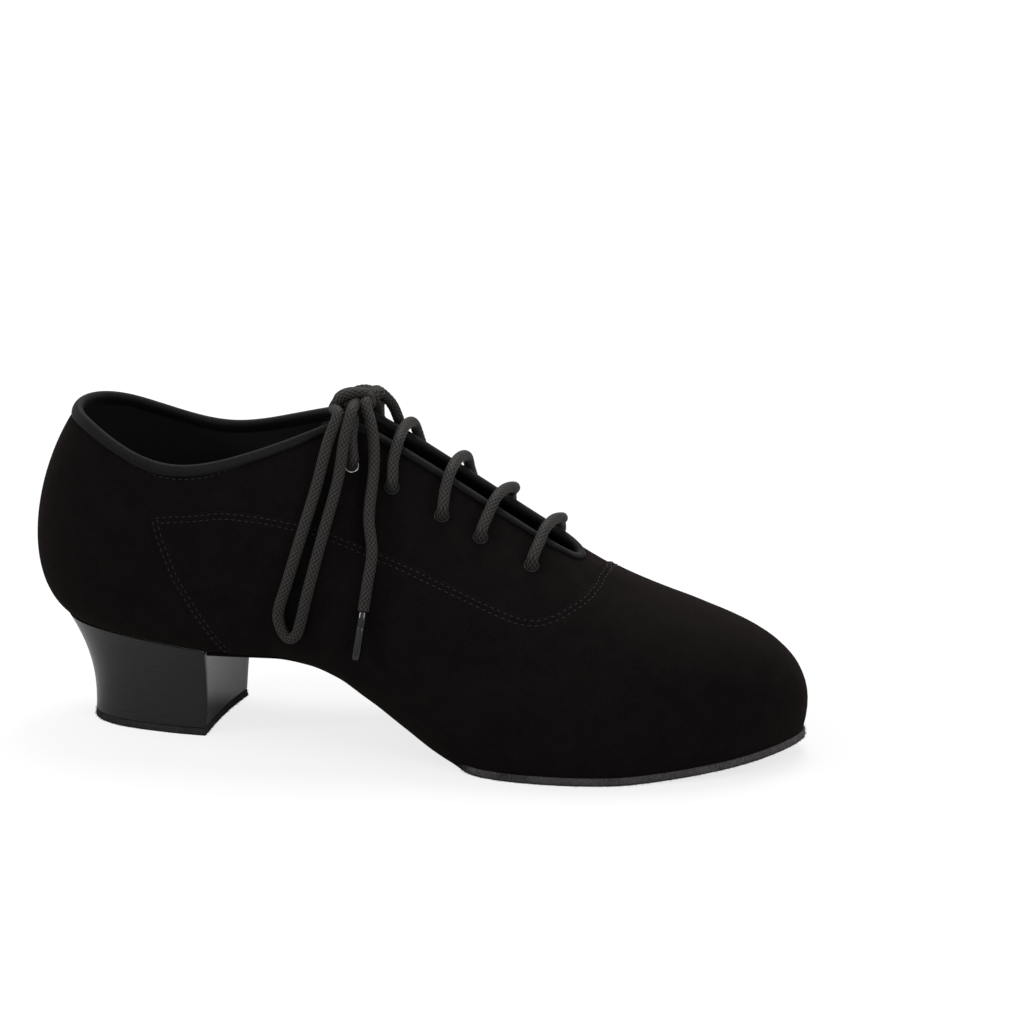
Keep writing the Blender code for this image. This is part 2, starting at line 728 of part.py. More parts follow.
def make_shoe():
    suede = make_material("black_suede", (0.012, 0.011, 0.011), 0.95)
    tape = make_material("binding_tape", (0.035, 0.034, 0.036), 0.8)
    cord = make_material("lace_cord", (0.045, 0.044, 0.045), 0.85)
    sole_suede = make_material("sole_suede", (0.05, 0.05, 0.055), 0.95)
    lining = make_material("insole_leather", (0.02, 0.019, 0.019), 0.7)
    stack = make_material("stacked_leather", (0.04, 0.04, 0.045), 0.35)
    metal = make_material("eyelet_metal", (0.03, 0.03, 0.032), 0.4, 1.0)
    film = make_material("aglet_plastic", (0.05, 0.05, 0.055), 0.15)

    outer_frames, inner_frames = ([eyelet_frame(share * LENGTH, side) for share in EYELETS_ALONG]
                                  for side in (OUTER, INNER))
    make_upper(suede, make_punches([*outer_frames, *inner_frames], metal))
    make_binding(tape)
    make_tongue(suede)
    make_insole(lining)
    make_outsole(sole_suede)
    make_heel(stack, sole_suede)
    for word, frames in (("outer", outer_frames), ("inner", inner_frames)):
        for k, frame in enumerate(frames):
            make_eyelet(f"eyelet_{word}_{k + 1}", *frame[:2], metal)
    make_laces(outer_frames, inner_frames, cord, film)


for old in list(bpy.data.objects):
    bpy.data.objects.remove(old)
SHOE = new_collection("ballroom_dance_shoe")
CUTTERS = new_collection("cutters")
make_shoe()
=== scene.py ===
# %% [markdown]
# # A black suede ballroom dance shoe
#
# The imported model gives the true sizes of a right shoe: last, wall, sole, heel,
# eyelets and lace.  This lesson dresses it.  Every visible piece is modelled
# again, finer, on the same last, and gets the finish that the real one has.

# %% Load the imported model
import json
import math

import bpy
import numpy as np
from mathutils import Matrix, Vector

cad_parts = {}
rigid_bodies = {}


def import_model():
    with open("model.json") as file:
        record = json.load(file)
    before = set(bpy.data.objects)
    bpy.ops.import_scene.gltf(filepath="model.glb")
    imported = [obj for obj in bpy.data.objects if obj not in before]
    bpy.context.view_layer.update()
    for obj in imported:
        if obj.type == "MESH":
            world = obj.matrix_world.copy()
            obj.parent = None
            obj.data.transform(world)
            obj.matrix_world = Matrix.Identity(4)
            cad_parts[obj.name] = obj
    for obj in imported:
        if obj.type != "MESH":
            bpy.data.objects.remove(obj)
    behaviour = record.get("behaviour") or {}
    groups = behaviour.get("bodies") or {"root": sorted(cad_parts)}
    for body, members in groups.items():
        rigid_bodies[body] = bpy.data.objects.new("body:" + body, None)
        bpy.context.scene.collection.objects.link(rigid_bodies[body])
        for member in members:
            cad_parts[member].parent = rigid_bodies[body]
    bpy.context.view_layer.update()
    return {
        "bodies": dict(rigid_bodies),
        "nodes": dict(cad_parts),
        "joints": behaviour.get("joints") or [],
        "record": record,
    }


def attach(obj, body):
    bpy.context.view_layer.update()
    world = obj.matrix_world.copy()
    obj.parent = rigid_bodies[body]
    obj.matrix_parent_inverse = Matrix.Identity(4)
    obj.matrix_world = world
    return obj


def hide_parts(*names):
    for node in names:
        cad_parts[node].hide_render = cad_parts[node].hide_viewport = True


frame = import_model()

MM = 0.001

# %% [markdown]
# ## The camera
#
# The picture was taken from the outer side, a little above the shoe, with a long
# lens.  The angles below were fitted to the photo: azimuth, elevation and a roll
# of about one degree.

# %% Set the camera
CAMERA_AZIMUTH = math.radians(15.38)
CAMERA_ELEVATION = math.radians(15.77)
CAMERA_ROLL = math.radians(-1.10)
CAMERA_PLACE = Vector((436.7, -1129.9, 409.3)) * MM
CAMERA_LENS_MM = 129.1
CAMERA_REACH = 30


def camera_axes(azimuth, elevation, roll):
    """Right, up and back directions of a camera that looks at the shoe."""
    back = Vector((math.sin(azimuth) * math.cos(elevation),
                   -math.cos(azimuth) * math.cos(elevation), math.sin(elevation)))
    level = Vector((math.cos(azimuth), math.sin(azimuth), 0))
    up = back.cross(level)
    return (level * math.cos(roll) + up * math.sin(roll),
            up * math.cos(roll) - level * math.sin(roll), back)


bpy.ops.object.camera_add()
camera = bpy.context.object
camera.name = "portrait_camera"
camera.data.lens = CAMERA_LENS_MM
camera.data.clip_end = CAMERA_REACH
turn = Matrix(camera_axes(CAMERA_AZIMUTH, CAMERA_ELEVATION, CAMERA_ROLL)).transposed()
camera.matrix_world = Matrix.Translation(CAMERA_PLACE) @ turn.to_4x4()
bpy.context.scene.camera = camera
print("camera height in mm:", round(CAMERA_PLACE.z / MM))

# %% [markdown]
# ## The last
#
# A shoe is drawn over a last, so one set of curves carries everything.  A rib
# leaves the foot edge, swells, leans in and ends at the mouth, which is the
# collar and then the throat.  A place on the shoe is then two numbers: `at`, the
# rib counted from the back along the outer side, and `t`, 0 at the foot edge and
# 1 at the mouth.  On the inner side `at` is negative.  These are the sizes that
# the solid model was made from.

# %% Sizes of the last and of its pieces
LENGTH = 267.5 * MM
BALL_WIDTH = 89 * MM
COLLAR_HEIGHT = 110 * MM
SEAT_HEIGHT = 37.4 * MM
SEAT_FALL = 7.6 * MM
TOE_SPRING = 5.5 * MM
GAP = 0.3 * MM
WALL = 1.8 * MM
SOLE_FRONT_THICK = 2.7 * MM
SOLE_WAIST_THICK = 1.6 * MM
SOLE_MARGIN = 1.0 * MM
WAIST_SET_IN = 1.0 * MM
FOREPART = (0.58 * LENGTH, 0.612 * LENGTH)
INSOLE_THICK = 2.0 * MM
INSOLE_SET_IN = 2.2 * MM
INSOLE_LIFT = 0.3 * MM
HEEL_TIP_THICK = 2.4 * MM
HEEL_TIP_LENGTH = 46 * MM
HEEL_MARGIN = 0.5 * MM
BREAST_ALONG = 67.5 * MM
BREAST_LEAN = 2.5 * MM
BREAST_HOLLOW = 1.5 * MM
HEEL_FLARE = 2.3
ORIGIN_ALONG = BREAST_ALONG - BREAST_LEAN - HEEL_TIP_LENGTH / 2

# Columns: foot_x and mouth_x as shares of LENGTH, foot_y and mouth_y of half
# BALL_WIDTH, mouth_z of COLLAR_HEIGHT, and the handles as shares of the rib's rise
BACK_RIB = (0.041, 0.000, 0.065, 0.000, 1.000, 0.235, 0.165, 0.25, 0.33)
OUTER_RIBS = (
    (0.052, -0.270, 0.075, -0.250, 0.991, 0.22, 0.16, 0.22, 0.33),
    (0.090, -0.465, 0.107, -0.440, 0.962, 0.18, 0.16, 0.16, 0.32),
    (0.157, -0.570, 0.161, -0.573, 0.900, 0.16, 0.14, 0.11, 0.30),
    (0.247, -0.610, 0.232, -0.630, 0.866, 0.16, 0.12, 0.10, 0.29),
    (0.336, -0.575, 0.314, -0.562, 0.906, 0.21, 0.08, 0.16, 0.28),
    (0.422, -0.570, 0.381, -0.382, 0.960, 0.24, 0.05, 0.24, 0.27),
    (0.505, -0.650, 0.426, -0.202, 0.984, 0.20, 0.10, 0.27, 0.22),
    (0.576, -0.825, 0.479, -0.153, 0.930, 0.13, 0.19, 0.25, 0.20),
    (0.643, -0.973, 0.561, -0.144, 0.816, 0.09, 0.27, 0.26, 0.20),
    (0.714, -1.000, 0.640, -0.139, 0.700, 0.09, 0.34, 0.30, 0.21),
    (0.793, -0.921, 0.686, -0.126, 0.634, 0.09, 0.43, 0.40, 0.25),
    (0.875, -0.697, 0.704, -0.085, 0.606, 0.11, 0.54, 0.52, 0.33),
    (0.946, -0.400, 0.710, -0.040, 0.594, 0.15, 0.63, 0.62, 0.41),
)
TOE_RIB = (0.989, 0.090, 0.712, 0.011, 0.592, 0.18, 0.67, 0.64, 0.44)
INNER_RIBS = (
    (0.052, 0.270, 0.075, 0.250, 0.993, 0.22, 0.16, 0.22, 0.33),
    (0.090, 0.455, 0.107, 0.440, 0.966, 0.18, 0.16, 0.16, 0.32),
    (0.157, 0.560, 0.161, 0.585, 0.912, 0.16, 0.14, 0.11, 0.30),
    (0.247, 0.585, 0.232, 0.652, 0.878, 0.15, 0.12, 0.10, 0.29),
    (0.336, 0.465, 0.314, 0.585, 0.916, 0.24, 0.09, 0.14, 0.28),
    (0.422, 0.390, 0.381, 0.404, 0.966, 0.28, 0.09, 0.22, 0.27),
    (0.505, 0.500, 0.426, 0.225, 0.985, 0.23, 0.13, 0.26, 0.22),
    (0.576, 0.713, 0.479, 0.175, 0.933, 0.15, 0.21, 0.25, 0.20),
    (0.643, 0.888, 0.561, 0.166, 0.818, 0.10, 0.28, 0.26, 0.20),
    (0.714, 0.955, 0.640, 0.162, 0.702, 0.09, 0.34, 0.30, 0.21),
    (0.793, 0.899, 0.686, 0.148, 0.636, 0.09, 0.43, 0.40, 0.25),
    (0.875, 0.708, 0.704, 0.108, 0.608, 0.11, 0.54, 0.52, 0.33),
    (0.946, 0.465, 0.710, 0.063, 0.596, 0.15, 0.63, 0.62, 0.41),
)
# Underside in front of the heel: share of LENGTH, of the breast's height, of TOE_SPRING
TREAD = np.array([
    (BREAST_ALONG / LENGTH, 1.0, 0.0),
    (0.340, 1.000, 0.00), (0.385, 0.945, 0.00), (0.430, 0.795, 0.00), (0.475, 0.560, 0.00),
    (0.520, 0.305, 0.00), (0.560, 0.130, 0.00), (0.600, 0.025, 0.00), (0.625, 0.000, 0.00),
    (0.790, 0.000, 0.00), (0.860, 0.000, 0.18), (0.930, 0.000, 0.55), (1.000, 0.000, 1.00),
])
RIBS = np.array((BACK_RIB, *OUTER_RIBS, TOE_RIB, *reversed(INNER_RIBS)))
TOE = len(OUTER_RIBS) + 1
OUTER, INNER = 1, -1
UP = np.array((0.0, 0.0, 1.0))
NEAR = 0.02


# %% The curves of the last
def hermite(a, b, slope_a, slope_b, t):
    """Cubic from a to b with the given slopes at its ends."""
    s = 1 - t
    return ((1 + 2 * t) * s * s * a + t * s * s * slope_a
            + t * t * (3 - 2 * t) * b - t * t * s * slope_b)


def closed_slopes(rows):
    """Slopes that make a closed cubic through equally spaced rows smooth."""
    n = len(rows)
    system = 4 * np.eye(n) + np.roll(np.eye(n), 1, 1) + np.roll(np.eye(n), -1, 1)
    return np.linalg.solve(system, 3 * (np.roll(rows, -1, 0) - np.roll(rows, 1, 0)))


def read_table(table, column, along):
    """A column of a table, read between its rows with no overshoot."""
    knots, values = table[:, 0], table[:, column]
    steps = np.diff(knots)
    rates = np.diff(values) / steps
    before, after = np.append(rates[:1], rates), np.append(rates, rates[-1:])
    total = np.where(before * after > 0, before + after, 1)
    slopes = np.where(before * after > 0, 2 * before * after / total, 0)
    i = np.clip(np.searchsorted(knots, along) - 1, 0, len(steps) - 1)
    t = np.clip((along - knots[i]) / steps[i], 0, 1)
    return hermite(values[i], values[i + 1], slopes[i] * steps[i], slopes[i + 1] * steps[i], t)


def ease(value, low, high):
    """0 before low, 1 after high, and smooth in between."""
    t = np.clip((value - low) / (high - low), 0, 1)
    return t * t * (3 - 2 * t)


def tread_height(along):
    """Height of the sole's underside at a distance from the back of the shoe."""
    along = np.asarray(along, float)
    seat = SEAT_HEIGHT - SEAT_FALL * along / BREAST_ALONG
    front = (read_table(TREAD, 1, along / LENGTH) * (SEAT_HEIGHT - SEAT_FALL)
             + read_table(TREAD, 2, along / LENGTH) * TOE_SPRING)
    return np.where(along <= BREAST_ALONG, seat, front)


def sole_thickness(along):
    """The sole is thin under seat and waist, and full from the ball on."""
    return SOLE_WAIST_THICK + (SOLE_FRONT_THICK - SOLE_WAIST_THICK) * ease(along, *FOREPART)


def feather_height(along):
    """Height of the upper's foot edge, just above the sole."""
    return tread_height(along) + sole_thickness(along) + GAP


RIB_SLOPES = closed_slopes(RIBS)


def rib_values(at):
    """The rib table's columns at places around the shoe."""
    i = np.floor(at).astype(int) % len(RIBS)
    j = (i + 1) % len(RIBS)
    values = hermite(RIBS[i], RIBS[j], RIB_SLOPES[i], RIB_SLOPES[j], (at - np.floor(at))[..., None])
    return np.moveaxis(values, -1, 0)


def foot_point(at):
    """The upper's foot edge at places around the shoe, with x from the back."""
    row = rib_values(np.asarray(at, float))
    x = row[0] * LENGTH
    return np.stack((x, row[1] * BALL_WIDTH / 2, feather_height(x)), -1)


def unit(vectors):
    return vectors / np.linalg.norm(vectors, axis=-1, keepdims=True)


def reach_along(line):
    """Distances along a line of points, from its start."""
    return np.append(0, np.cumsum(np.linalg.norm(np.diff(line, axis=0), axis=1)))


def foot_away(at):
    """Level direction out of the shoe at the foot edge."""
    ahead = foot_point(at + NEAR) - foot_point(at - NEAR)
    return unit(np.stack((ahead[..., 1], -ahead[..., 0], 0 * ahead[..., 0]), -1))


def last_point(at, t):
    """The last's outside at places around and up it, with x from the back."""
    at, t = np.broadcast_arrays(np.asarray(at, float), np.asarray(t, float))
    _, _, x, y, z, *handles = rib_values(at)
    foot_out, foot_up, mouth_out, mouth_down = (handle[..., None] for handle in handles)
    foot = foot_point(at)
    mouth = np.stack((x * LENGTH, y * BALL_WIDTH / 2, z * COLLAR_HEIGHT), -1)
    away, rise = foot_away(at), (mouth - foot)[..., 2:]
    low = foot + (away * foot_out + UP * foot_up) * rise
    high = mouth + (away * mouth_out - UP * mouth_down) * rise
    t = t[..., None]
    s = 1 - t
    return foot * s ** 3 + low * (3 * s * s * t) + high * (3 * s * t * t) + mouth * t ** 3


def last_normal(at, t):
    """Direction out of the last."""
    at, t = np.asarray(at, float), np.asarray(t, float)
    around = last_point(at + NEAR, t) - last_point(at - NEAR, t)
    upward = last_point(at, np.minimum(t + NEAR, 1)) - last_point(at, t - NEAR)
    return unit(np.cross(around, upward))


def find_rib(low, high, along, reach_of, rounds=30):
    """The rib between two others at which a distance along the shoe is reached."""
    for _ in range(rounds):
        rib = (low + high) / 2
        low, high = (rib, high) if reach_of(rib) < along else (low, rib)
    return low


def settle(points):
    """From the last's own frame, x from the back, to the shoe's frame."""
    return np.asarray(points) - np.array((ORIGIN_ALONG, 0, 0))


print("outer ball of the last in mm:", (last_point(9.0, 0.3) / MM).round(1))

# %% [markdown]
# ## Soft folds
#
# Suede on a last is never quite even: it pulls towards the eyelets, hollows
# under the ankle and at the waist, and breaks softly where the foot bends.  Each
# fold is one short line of places with a half width and a depth.  A positive
# depth is a trough, a negative one a ridge.  Troughs get small ridges beside
# them, because the leather that goes down has to come up again.

# %% Place the folds
# Columns: places (at, t) of the fold's line, half width and depth
FOLDS = (
    (((3.1, 0.83), (4.3, 0.82), (5.3, 0.86)), 7.5 * MM, 0.55 * MM),
    (((1.6, 0.60), (2.6, 0.42), (3.1, 0.14)), 9.0 * MM, -0.40 * MM),
    (((5.5, 0.46), (6.0, 0.28), (6.2, 0.10)), 6.0 * MM, 0.55 * MM),
    (((6.6, 0.55), (7.0, 0.36), (7.1, 0.15)), 5.0 * MM, 0.45 * MM),
    (((7.7, 0.50), (7.9, 0.30), (7.7, 0.12)), 5.0 * MM, 0.35 * MM),
    (((10.6, 0.52), (10.0, 0.40), (9.4, 0.20)), 4.5 * MM, 0.40 * MM),
    (((11.7, 0.60), (11.1, 0.44), (10.6, 0.24)), 5.0 * MM, 0.32 * MM),
    (((12.9, 0.72), (12.3, 0.56), (12.0, 0.38)), 5.0 * MM, 0.22 * MM),
    (((11.4, 0.12), (12.2, 0.30), (13.2, 0.40), (14.0, 0.42)), 8.0 * MM, -0.25 * MM),
)
INNER_FOLD_SHARE = 0.75
FOLD_FADE = 0.6
FOLD_END = 0.02
SIDE_RIDGE = 0.45
RIDGE_AWAY = 1.9
RIDGE_SPREAD = 0.5


def fold_line(places, side, steps=10):
    """Points along a fold, close enough together to measure distances from."""
    places = np.array(places)
    share = np.linspace(0, len(places) - 1, steps * (len(places) - 1) + 1)
    at = np.interp(share, range(len(places)), places[:, 0]) * side
    t = np.interp(share, range(len(places)), places[:, 1])
    fade = np.sin(np.pi * np.clip(share / share[-1], FOLD_END, 1 - FOLD_END)) ** FOLD_FADE
    return last_point(at, t), fade


FOLD_LINES = [(*fold_line(places, side), width, depth * (1 if side == OUTER else INNER_FOLD_SHARE))
              for places, width, depth in FOLDS for side in (OUTER, INNER)]


def fold_depth(points):
    """How far the folds sink the suede at points of the last."""
    flat = points.reshape(-1, 3)
    sunk = np.zeros(len(flat))
    for line, fade, width, depth in FOLD_LINES:
        distance = np.linalg.norm(flat[:, None] - line[None], axis=-1) / width
        nearest = distance.argmin(1)
        reach = distance[np.arange(len(flat)), nearest]
        ridge = np.exp(-(reach - RIDGE_AWAY) ** 2 / RIDGE_SPREAD)
        sunk += depth * fade[nearest] * (np.exp(-reach ** 2) - SIDE_RIDGE * ridge)
    return sunk.reshape(points.shape[:-1])


def skin(at, t, lift=0.0):
    """Points on the folded suede, or lifted off it, in the shoe's own frame."""
    points = last_point(at, t)
    height = np.asarray(lift) - fold_depth(points)
    return settle(points + last_normal(at, t) * height[..., None])


def below_mouth(at, distance, guess=0.8, rounds=6):
    """Where a rib lies a given distance below its mouth."""
    t = np.full(np.shape(at), guess)
    for _ in range(rounds):
        reach = np.linalg.norm(last_point(at, 1.0) - last_point(at, t), axis=-1)
        t = 1 - (1 - t) * distance / reach
    return t


all_over = last_point(np.linspace(0, len(RIBS), 200)[:, None], np.linspace(0, 1, 60))
print("deepest fold in mm:", round(float(fold_depth(all_over).max()) / MM, 2))

# %% [markdown]
# ## Helpers for modelling
#
# Most pieces of a shoe are sheets bent over the last.  A grid primitive is the
# flat sheet, and its corners are then laid on the last.  Solidify gives a sheet
# its thickness.  The UV map holds real metres along and across the sheet, so a
# weave or a stitch groove can follow it.

# %% Lay sheets and finish meshes
# Mesh operators with their settings, for in_edit_mode
MERGE_WITHIN = 0.01 * MM
MERGE = ("remove_doubles", {"threshold": MERGE_WITHIN})
CLOSE_ENDS = ("fill_holes", {"sides": 0})
FACE_OUT = ("normals_make_consistent", {"inside": False})
FLIP = ("flip_normals", {})


def only(piece):
    """Makes a piece the one that operators act on."""
    bpy.ops.object.select_all(action="DESELECT")
    piece.select_set(True)
    bpy.context.view_layer.objects.active = piece


def apply_modifier(piece, kind, **settings):
    """Adds a modifier with its settings and applies it."""
    only(piece)
    modifier = piece.modifiers.new(kind.lower(), kind)
    for name, value in settings.items():
        setattr(modifier, name, value)
    bpy.ops.object.modifier_apply(modifier=modifier.name)


def in_edit_mode(piece, *steps):
    """Runs mesh operators, each a name and its settings, on all of a piece."""
    only(piece)
    bpy.ops.object.mode_set(mode="EDIT")
    bpy.ops.mesh.select_all(action="SELECT")
    for name, settings in steps:
        getattr(bpy.ops.mesh, name)(**settings)
    bpy.ops.object.mode_set(mode="OBJECT")


def lay_sheet(name, places, merge=True):
    """A grid whose corners are laid on given places, an array of rows of points."""
    rows, columns = places.shape[:2]
    bpy.ops.object.select_all(action="DESELECT")
    bpy.ops.mesh.primitive_grid_add(x_subdivisions=columns - 1, y_subdivisions=rows - 1, size=1)
    sheet = bpy.context.object
    sheet.name = sheet.data.name = name
    sheet.data.vertices.foreach_set("co", places.astype(np.float32).ravel())
    along = np.linalg.norm(np.diff(places, axis=1), axis=-1).mean(0)
    across = np.linalg.norm(np.diff(places, axis=0), axis=-1).mean(1)
    u, v = (np.concatenate(([0], np.cumsum(steps))) for steps in (along, across))
    flat = np.stack(np.meshgrid(u, v), -1).reshape(-1, 2)
    corner = np.empty(len(sheet.data.loops), int)
    sheet.data.loops.foreach_get("vertex_index", corner)
    sheet.data.uv_layers.active.data.foreach_set("uv", flat[corner].astype(np.float32).ravel())
    sheet.data.update()
    if merge:
        in_edit_mode(sheet, MERGE)
    return sheet


def finish(piece, material, slot, *nodes, angle=50):
    """Material, smooth shading, body and the nodes that a piece stands for."""
    only(piece)
    bpy.ops.object.shade_smooth_by_angle(angle=math.radians(angle))
    piece.data.materials.clear()
    piece.data.materials.append(material)
    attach(piece, "root")
    if nodes:
        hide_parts(*nodes)
    print(piece.name, "has", len(piece.data.polygons), "faces")
    return piece


def frames_of(ahead, side, up, places):
    """Frames of 4 x 4 from three directions and a place each."""
    frames = np.tile(np.eye(4), (len(places), 1, 1))
    frames[:, :3, :3] = np.stack((ahead, side, up), -1)
    frames[:, :3, 3] = places
    return frames


def stamp(name, shape, frames, scales=None):
    """One mesh of many copies of a small shape, each with its own turn and place."""
    corners, faces = shape
    local = corners[None] * (np.ones((len(frames), 1, 3)) if scales is None else scales[:, None])
    points = np.einsum("nij,nkj->nki", frames[:, :3, :3], local) + frames[:, None, :3, 3]
    offsets = np.arange(len(frames)) * len(corners)
    mesh = bpy.data.meshes.new(name)
    mesh.from_pydata(points.reshape(-1, 3), [],
                     [[offset + k for k in face] for offset in offsets for face in faces])
    mesh.update()
    piece = bpy.data.objects.new(name, mesh)
    bpy.context.scene.collection.objects.link(piece)
    return piece


# %% [markdown]
# ## Materials
#
# One function turns a hex colour to linear light, and one adds a node.  Each
# material below starts from what the real one is.

# %% Colour and node helpers
RAMP_ENDS = (0.3, 0.7)


def linear(hex_colour):
    """An sRGB hex colour as linear red, green, blue and alpha."""
    parts = [int(hex_colour[k:k + 2], 16) / 255 for k in (1, 3, 5)]
    return (*[c / 12.92 if c <= 0.04045 else ((c + 0.055) / 1.055) ** 2.4 for c in parts], 1)


def add_node(material, kind, inputs=None, **settings):
    """Adds a node with its settings, its input values and its links."""
    node = material.node_tree.nodes.new("ShaderNode" + kind)
    for name, value in settings.items():
        setattr(node, name, value)
    for socket, value in (inputs or {}).items():
        if isinstance(value, bpy.types.NodeSocket):
            material.node_tree.links.new(value, node.inputs[socket])
        else:
            node.inputs[socket].default_value = value
    return node


def new_material(name, **values):
    """A Principled material with the values that are even all over it."""
    material = bpy.data.materials.new(name)
    material.use_nodes = True
    shader = material.node_tree.nodes["Principled BSDF"]
    for socket, value in values.items():
        shader.inputs[socket.replace("_", " ")].default_value = value
    return material, shader


def wire(material, shader, **sockets):
    """Links node outputs to the shader's sockets."""
    for socket, output in sockets.items():
        material.node_tree.links.new(output, shader.inputs[socket.replace("_", " ")])


def object_place(material):
    return add_node(material, "TexCoord").outputs["Object"]


def axis_of(material, vector, axis):
    return add_node(material, "SeparateXYZ", {"Vector": vector}).outputs[axis]


def map_range(material, value, start, end, low=0.0, high=1.0):
    """A value's way from start to end, as a value from low to high."""
    return add_node(material, "MapRange", {"Value": value, "From Min": start, "From Max": end,
                                           "To Min": low, "To Max": high}).outputs["Result"]


def noise_of(material, size, coordinates, detail=2.0, rough=0.55):
    """A noise whose spots are about a given size in metres."""
    return add_node(material, "TexNoise", {"Vector": coordinates, "Scale": 1 / size,
                                           "Detail": detail, "Roughness": rough}).outputs["Fac"]


def blend_colours(material, factor, low, high):
    """A colour ramp from one hex colour to another."""
    ramp = add_node(material, "ValToRGB", {"Fac": factor})
    for element, colour, position in zip(ramp.color_ramp.elements, (low, high), RAMP_ENDS):
        element.color = linear(colour)
        element.position = position
    return ramp.outputs["Color"]


def calculate(material, operation, a, b=0.0, c=0.0):
    return add_node(material, "Math", {0: a, 1: b, 2: c}, operation=operation).outputs[0]


def weigh(material, *parts):
    """The sum of outputs, each times its share."""
    output, share = parts[-1]
    total = calculate(material, "MULTIPLY", output, share)
    for output, share in reversed(parts[:-1]):
        total = calculate(material, "MULTIPLY_ADD", output, share, total)
    return total


def bump_of(material, height, depth, normal=None):
    """A bump whose height socket times depth is in metres."""
    inputs = {"Height": height, "Strength": 1.0, "Distance": depth}
    if normal is not None:
        inputs["Normal"] = normal
    return add_node(material, "Bump", inputs).outputs["Normal"]


# %% [markdown]
# Suede is split leather brushed to a nap.  The short fibres swallow light, so it
# has no highlight, only a soft sheen at grazing angles.  The nap lies in patches,
# a few millimetres wide, that are a touch lighter or darker.

# %% Suede of the upper
NAP_GRAIN = 0.45 * MM
NAP_PATCH = 7 * MM
NAP_CLOUD = 38 * MM
NAP_SHARES = (0.55, 0.3, 0.15)
NAP_PATCH_DEPTH = 0.10 * MM


def make_suede(name, dark, light, sheen, grain_depth):
    material, shader = new_material(name, Roughness=1.0, Specular_IOR_Level=0.02,
                                    Sheen_Weight=sheen, Sheen_Roughness=0.5,
                                    Sheen_Tint=linear("#D8C0B4"))
    place = object_place(material)
    grain = noise_of(material, NAP_GRAIN, place, detail=3.0)
    patch = noise_of(material, NAP_PATCH, place, detail=3.0, rough=0.65)
    cloud = noise_of(material, NAP_CLOUD, place, detail=1.0)
    mixed = weigh(material, *zip((grain, patch, cloud), NAP_SHARES))
    wire(material, shader, Base_Color=blend_colours(material, mixed, dark, light),
         Normal=bump_of(material, grain, grain_depth, bump_of(material, patch, NAP_PATCH_DEPTH)))
    return material


# Name, darkest and lightest colour, sheen and depth of the grain
suede = make_suede("brushed_calf_suede", "#080707", "#151212", 0.027, 0.16 * MM)
tongue_suede = make_suede("tongue_suede", "#070606", "#121010", 0.014, 0.16 * MM)

# %% [markdown]
# The sole is chrome suede, grey and rougher, because it has to grip a parquet.
# The same recipe makes it, with a lighter colour and a deeper nap.  Its waist,
# behind the ball, is inked almost black.  The side of the heel's tip is inked
# darker too, and the fibres along the bottom of the edges, where they touch the
# ground, are darker than the rest.

# %% Suede of the sole
WAIST_INK = "#0C0B0B"
INK_ENDS = (0.597 * LENGTH, 0.612 * LENGTH)


def ink_the_waist(material):
    """Dark ink behind the forepart, on a sole that is grey under the ball."""
    socket = material.node_tree.nodes["Principled BSDF"].inputs["Base Color"]
    along = axis_of(material, object_place(material), "X")
    bare = map_range(material, along, *[end - ORIGIN_ALONG for end in INK_ENDS])
    mix = add_node(material, "Mix", {"Factor": bare}, data_type="RGBA")
    # For colours the Mix node has input sockets 6 and 7 and output socket 2
    mix.inputs[6].default_value = linear(WAIST_INK)
    material.node_tree.links.new(socket.links[0].from_socket, mix.inputs[7])
    material.node_tree.links.new(mix.outputs[2], socket)


sole_suede = make_suede("chrome_sole_suede", "#1B1A1A", "#5F5D5E", 0.08, 0.22 * MM)
ink_the_waist(sole_suede)
fibre_suede = make_suede("sole_edge_fibre", "#201F1F", "#858383", 0.1, 0.02 * MM)
tip_suede = make_suede("inked_tip_suede", "#1B1B1B", "#3A3A3A", 0.05, 0.2 * MM)
# Darker fibres along the bottom of the edges, where they meet the ground
ground_suede = make_suede("darker_ground_fibre", "#0E0D0D", "#2B2929", 0.03, 0.02 * MM)

# %% [markdown]
# Binding tape is woven polyamide: fine ribs run across it.  The UV map holds
# metres along the tape, so a sine of it gives the ribs.

# %% Woven tape
RIB_PITCH = 0.62 * MM
TAPE_YARN = 0.5 * MM
TAPE_WEAR = 9 * MM


def make_tape():
    material, shader = new_material("ribbed_binding_tape", Roughness=0.5,
                                    Specular_IOR_Level=0.1, Sheen_Weight=0.02,
                                    Sheen_Roughness=0.4)
    place = add_node(material, "TexCoord").outputs
    along = axis_of(material, place["UV"], "X")
    ribs = calculate(material, "SINE", calculate(material, "MULTIPLY", along, 2 * math.pi / RIB_PITCH))
    yarn = noise_of(material, TAPE_YARN, place["Object"])
    worn = noise_of(material, TAPE_WEAR, place["Object"])
    mixed = weigh(material, (yarn, 0.5), (worn, 0.5))
    wire(material, shader, Base_Color=blend_colours(material, mixed, "#080808", "#121111"),
         Normal=bump_of(material, ribs, 0.07 * MM, bump_of(material, yarn, 0.05 * MM)))
    return material


tape = make_tape()

# %% [markdown]
# Shoe lace is braided polyester.  Its braid is modelled, so the material only
# adds the yarns' fine threads, and a painted highlight on the crowns of the braid
# with painted shade in the gaps between the yarns, from the height that the mesh
# keeps in a colour attribute called `crown`.

# %% Braided cord, thread and lining
LACE_YARN = 0.35 * MM


def make_lace():
    material, shader = new_material("braided_polyester", Roughness=0.55, Specular_IOR_Level=0.1,
                                    Sheen_Weight=0.04, Sheen_Roughness=0.4)
    crown = add_node(material, "Attribute", attribute_name="crown").outputs["Fac"]
    yarn = noise_of(material, LACE_YARN, object_place(material))
    # Lighter on the braid's crowns and darker in its gaps: painted highlight and painted shade
    bright = calculate(material, "MULTIPLY", crown, crown)
    mixed = weigh(material, (bright, 0.75), (yarn, 0.3))
    wire(material, shader, Base_Color=blend_colours(material, mixed, "#0A0A09", "#383634"),
         Normal=bump_of(material, yarn, 0.05 * MM))
    return material


